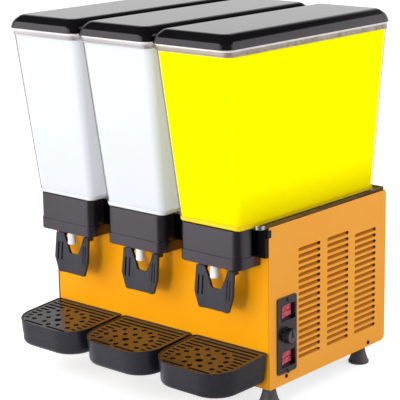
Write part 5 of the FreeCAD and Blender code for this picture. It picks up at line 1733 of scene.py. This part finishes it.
@dataclass
class Studio:
    """The pale floor, the soft lamps and the camera.

    The eye and the lamps are in millimetres from the foot of the front panel, other distances are in
    metres, and angles are in degrees. The camera sees the floor and the sky as the photograph's white
    ground, the object is lit by less than that, and its gloss shows tones of their own.

    Attributes:
        eye: where the camera stands.
        yaw: how far it stands to the right of straight ahead, and looks back to the left.
        pitch: how far it looks down.
        roll: how far it leans.
        focal_px: its focal length, in picture points.
        image_px: the picture's width, in picture points.
        sensor: its sensor's width, in millimetres.
        sight: how far it sees.
        floor_reach: half the floor's width.
        patches: the size of the floor paper's patches, in millimetres.
        paper: the two colours of the floor paper.
        glow_reach: how far away the floor's glow begins to rise, and where it is full.
        glow: the floor's glow to the camera, near and far.
        shine: the floor's glow in the gloss, toward the bright side.
        shine_side: the bearing of the bright side.
        dim_side: the bearing of the dim side.
        dim_edge: how far toward the dim side the gloss begins to dim, and where it is dimmest.
        dim_tone: the share of the shine left there.
        sky: the strength of the sky's light.
        skyline: the heights between which the sky's shine falls from full to its upper tone.
        upper_tone: the sky's shine above the skyline.
        ceiling_edge: the heights between which it falls to the ceiling's tone.
        ceiling: the sky's shine overhead.
        sky_card: how far toward the camera's side the sky's shine begins to darken, and where it is darkest.
        floor_card: the same for the floor's.
        card_tone: the share of the shine left there.
        card_start: how far away the floor's darkening begins, and where it is full.
        lamps: the soft lamps.
    """

    eye: Spot = (1843.4, -1979.8, 1025.9)
    yaw: float = 41.2
    pitch: float = 14.0
    roll: float = -0.9
    focal_px: float = 1504.6
    image_px: float = 400.0
    sensor: float = 36.0
    sight: float = 50.0
    floor_reach: float = 12.0
    patches: float = 400.0
    paper: tuple[Colour, Colour] = ((0.77, 0.77, 0.77), (0.80, 0.80, 0.80))
    glow_reach: tuple[float, float] = (0.5, 2.2)
    glow: tuple[float, float] = (0.62, 0.73)
    shine: float = 0.50
    shine_side: float = -60.0
    dim_side: float = -90.0
    dim_edge: tuple[float, float] = (0.66, 0.86)
    dim_tone: float = 0.1
    sky: float = 0.50
    skyline: tuple[float, float] = (0.17, 0.24)
    upper_tone: float = 0.74
    ceiling_edge: tuple[float, float] = (0.45, 0.60)
    ceiling: float = 0.03
    sky_card: tuple[float, float] = (0.30, 0.55)
    floor_card: tuple[float, float] = (0.72, 0.86)
    card_tone: float = 0.15
    card_start: tuple[float, float] = (0.65, 0.95)
    lamps: tuple[Lamp, ...] = (
        Lamp("left_window", (-1075.0, -1862.0, 1000.0), (0.0, 100.0, 350.0), 2700.0, 2000.0, 38.0),
        Lamp("front_key", (350.0, -2880.0, 620.0), (0.0, 0.0, 300.0), 560.0, 560.0, 28.0),
        Lamp("right_window", (1500.0, 1850.0, 1000.0), (0.0, 150.0, 350.0), 3200.0, 2000.0, 21.0),
        Lamp("right_fill", (2700.0, 150.0, 900.0), (260.0, 180.0, 300.0), 1200.0, 1200.0, 9.5),
    )

    def set_camera(self) -> None:
        """Stand the camera where the photograph was taken."""
        data = bpy.data.cameras.new("camera")
        data.sensor_width = self.sensor
        data.lens = self.focal_px / self.image_px * self.sensor
        data.clip_end = self.sight
        camera = bpy.data.objects.new("camera", data)
        yaw, pitch, roll = (math.radians(a) for a in (self.yaw, self.pitch, self.roll))
        ahead = Vector((-math.sin(yaw) * math.cos(pitch), math.cos(yaw) * math.cos(pitch), -math.sin(pitch)))
        level = Vector((math.cos(yaw), math.sin(yaw), 0.0))
        upright = level.cross(ahead)
        right = math.cos(roll) * level + math.sin(roll) * upright
        up = math.cos(roll) * upright - math.sin(roll) * level
        turn = Matrix((right, up, -ahead)).transposed()
        camera.matrix_world = Matrix.Translation(at(*self.eye)) @ turn.to_4x4()
        bpy.context.scene.collection.objects.link(camera)
        bpy.context.scene.camera = camera

    def card(self, graph: Graph, edge: tuple[float, float]) -> bpy.types.NodeSocket:
        """Shade off the camera's side, as a black card would.

        Args:
            graph: the tree of the floor or of the surroundings.
            edge: where the card's shade begins and where it is full.

        Returns:
            1 in the open, the card's tone behind it.
        """
        return graph.ranged(graph.toward(self.yaw), *edge, 1.0, self.card_tone)

    def lay_floor(self) -> None:
        """Lay the pale floor, which the eye and the gloss see brighter than it lights the object."""
        built = bmesh.new()
        reach = self.floor_reach
        corners = [(-reach, -reach), (reach, -reach), (reach, reach), (-reach, reach)]
        built.faces.new([built.verts.new((x, y, 0.0)) for x, y in corners])
        mesh = bpy.data.meshes.new("floor")
        built.to_mesh(mesh)
        built.free()
        floor = bpy.data.objects.new("floor", mesh)
        bpy.context.scene.collection.objects.link(floor)
        graph = Graph(bpy.data.materials.new("floor_paper"))
        path = graph.node("ShaderNodeLightPath").outputs
        away = graph.node("ShaderNodeVectorMath", operation="LENGTH")
        graph.link(graph.place, away.inputs[0])
        far = graph.ranged(away.outputs["Value"], *self.card_start, 0.0, 1.0)
        card = graph.chosen(far, 1.0, self.card(graph, self.floor_card))
        shade = graph.chosen(path["Is Glossy Ray"], 0.0, graph.counted("SUBTRACT", card, 1.0))
        paper = graph.between(graph.noise(self.patches), *self.paper)
        graph.shade("Base Color", graph.mixed(graph.counted("ABSOLUTE", shade), paper, (0.0, 0.0, 0.0)))
        graph.shade("Roughness", 0.9)
        graph.shade("Specular IOR Level", 0.1)
        graph.shade("Emission Color", (1.0, 1.0, 1.0, 1.0))
        seen = graph.ranged(away.outputs["Value"], *self.glow_reach, *self.glow)
        bright = graph.ranged(graph.toward(self.shine_side), 0.0, 0.5, 0.0, self.shine)
        dim = graph.ranged(graph.toward(self.dim_side), *self.dim_edge, 1.0, self.dim_tone)
        shone = graph.counted("MULTIPLY", card, graph.counted("MULTIPLY", bright, dim))
        glow = graph.chosen(path["Is Glossy Ray"], 0.0, shone)
        graph.shade("Emission Strength", graph.chosen(path["Is Camera Ray"], glow, seen))
        floor.data.materials.append(graph.owner)

    def light(self) -> None:
        """Hang the lamps and set the pale surroundings."""
        world = bpy.data.worlds.new("surroundings")
        bpy.context.scene.world = world
        graph = Graph(world, "Background", "Generated")
        path = graph.node("ShaderNodeLightPath").outputs
        height = graph.axis("Z")
        high = graph.ranged(height, *self.ceiling_edge, self.upper_tone, self.ceiling)
        low = graph.ranged(height, *self.skyline, 1 / self.upper_tone, 1.0)
        shine = graph.counted("MULTIPLY", self.card(graph, self.sky_card), graph.counted("MULTIPLY", high, low))
        strength = graph.chosen(path["Is Glossy Ray"], self.sky, shine)
        strength = graph.chosen(path["Is Transmission Ray"], strength, 1.0)
        graph.shade("Strength", graph.chosen(path["Is Camera Ray"], strength, 1.0))
        graph.shade("Color", (1.0, 1.0, 1.0, 1.0))
        for lamp in self.lamps:
            lamp.hang()

    def build(self) -> None:
        """Set up the whole studio."""
        self.set_camera()
        self.lay_floor()
        self.light()
        bpy.context.scene.view_settings.view_transform = "Standard"


def main() -> None:
    """Build the studio and dress every sub-assembly, in order."""
    logging.basicConfig(level=logging.INFO, format="%(name)s: %(message)s")
    Studio().build()
    for assembly in (Cabinet(), Taps(), Bowls(), Lids(), Trays(), Controls(), CoolingPlant()):
        assembly.dress()
        log.info("finished %s", type(assembly).__name__)


if __name__ == "__main__":
    main()
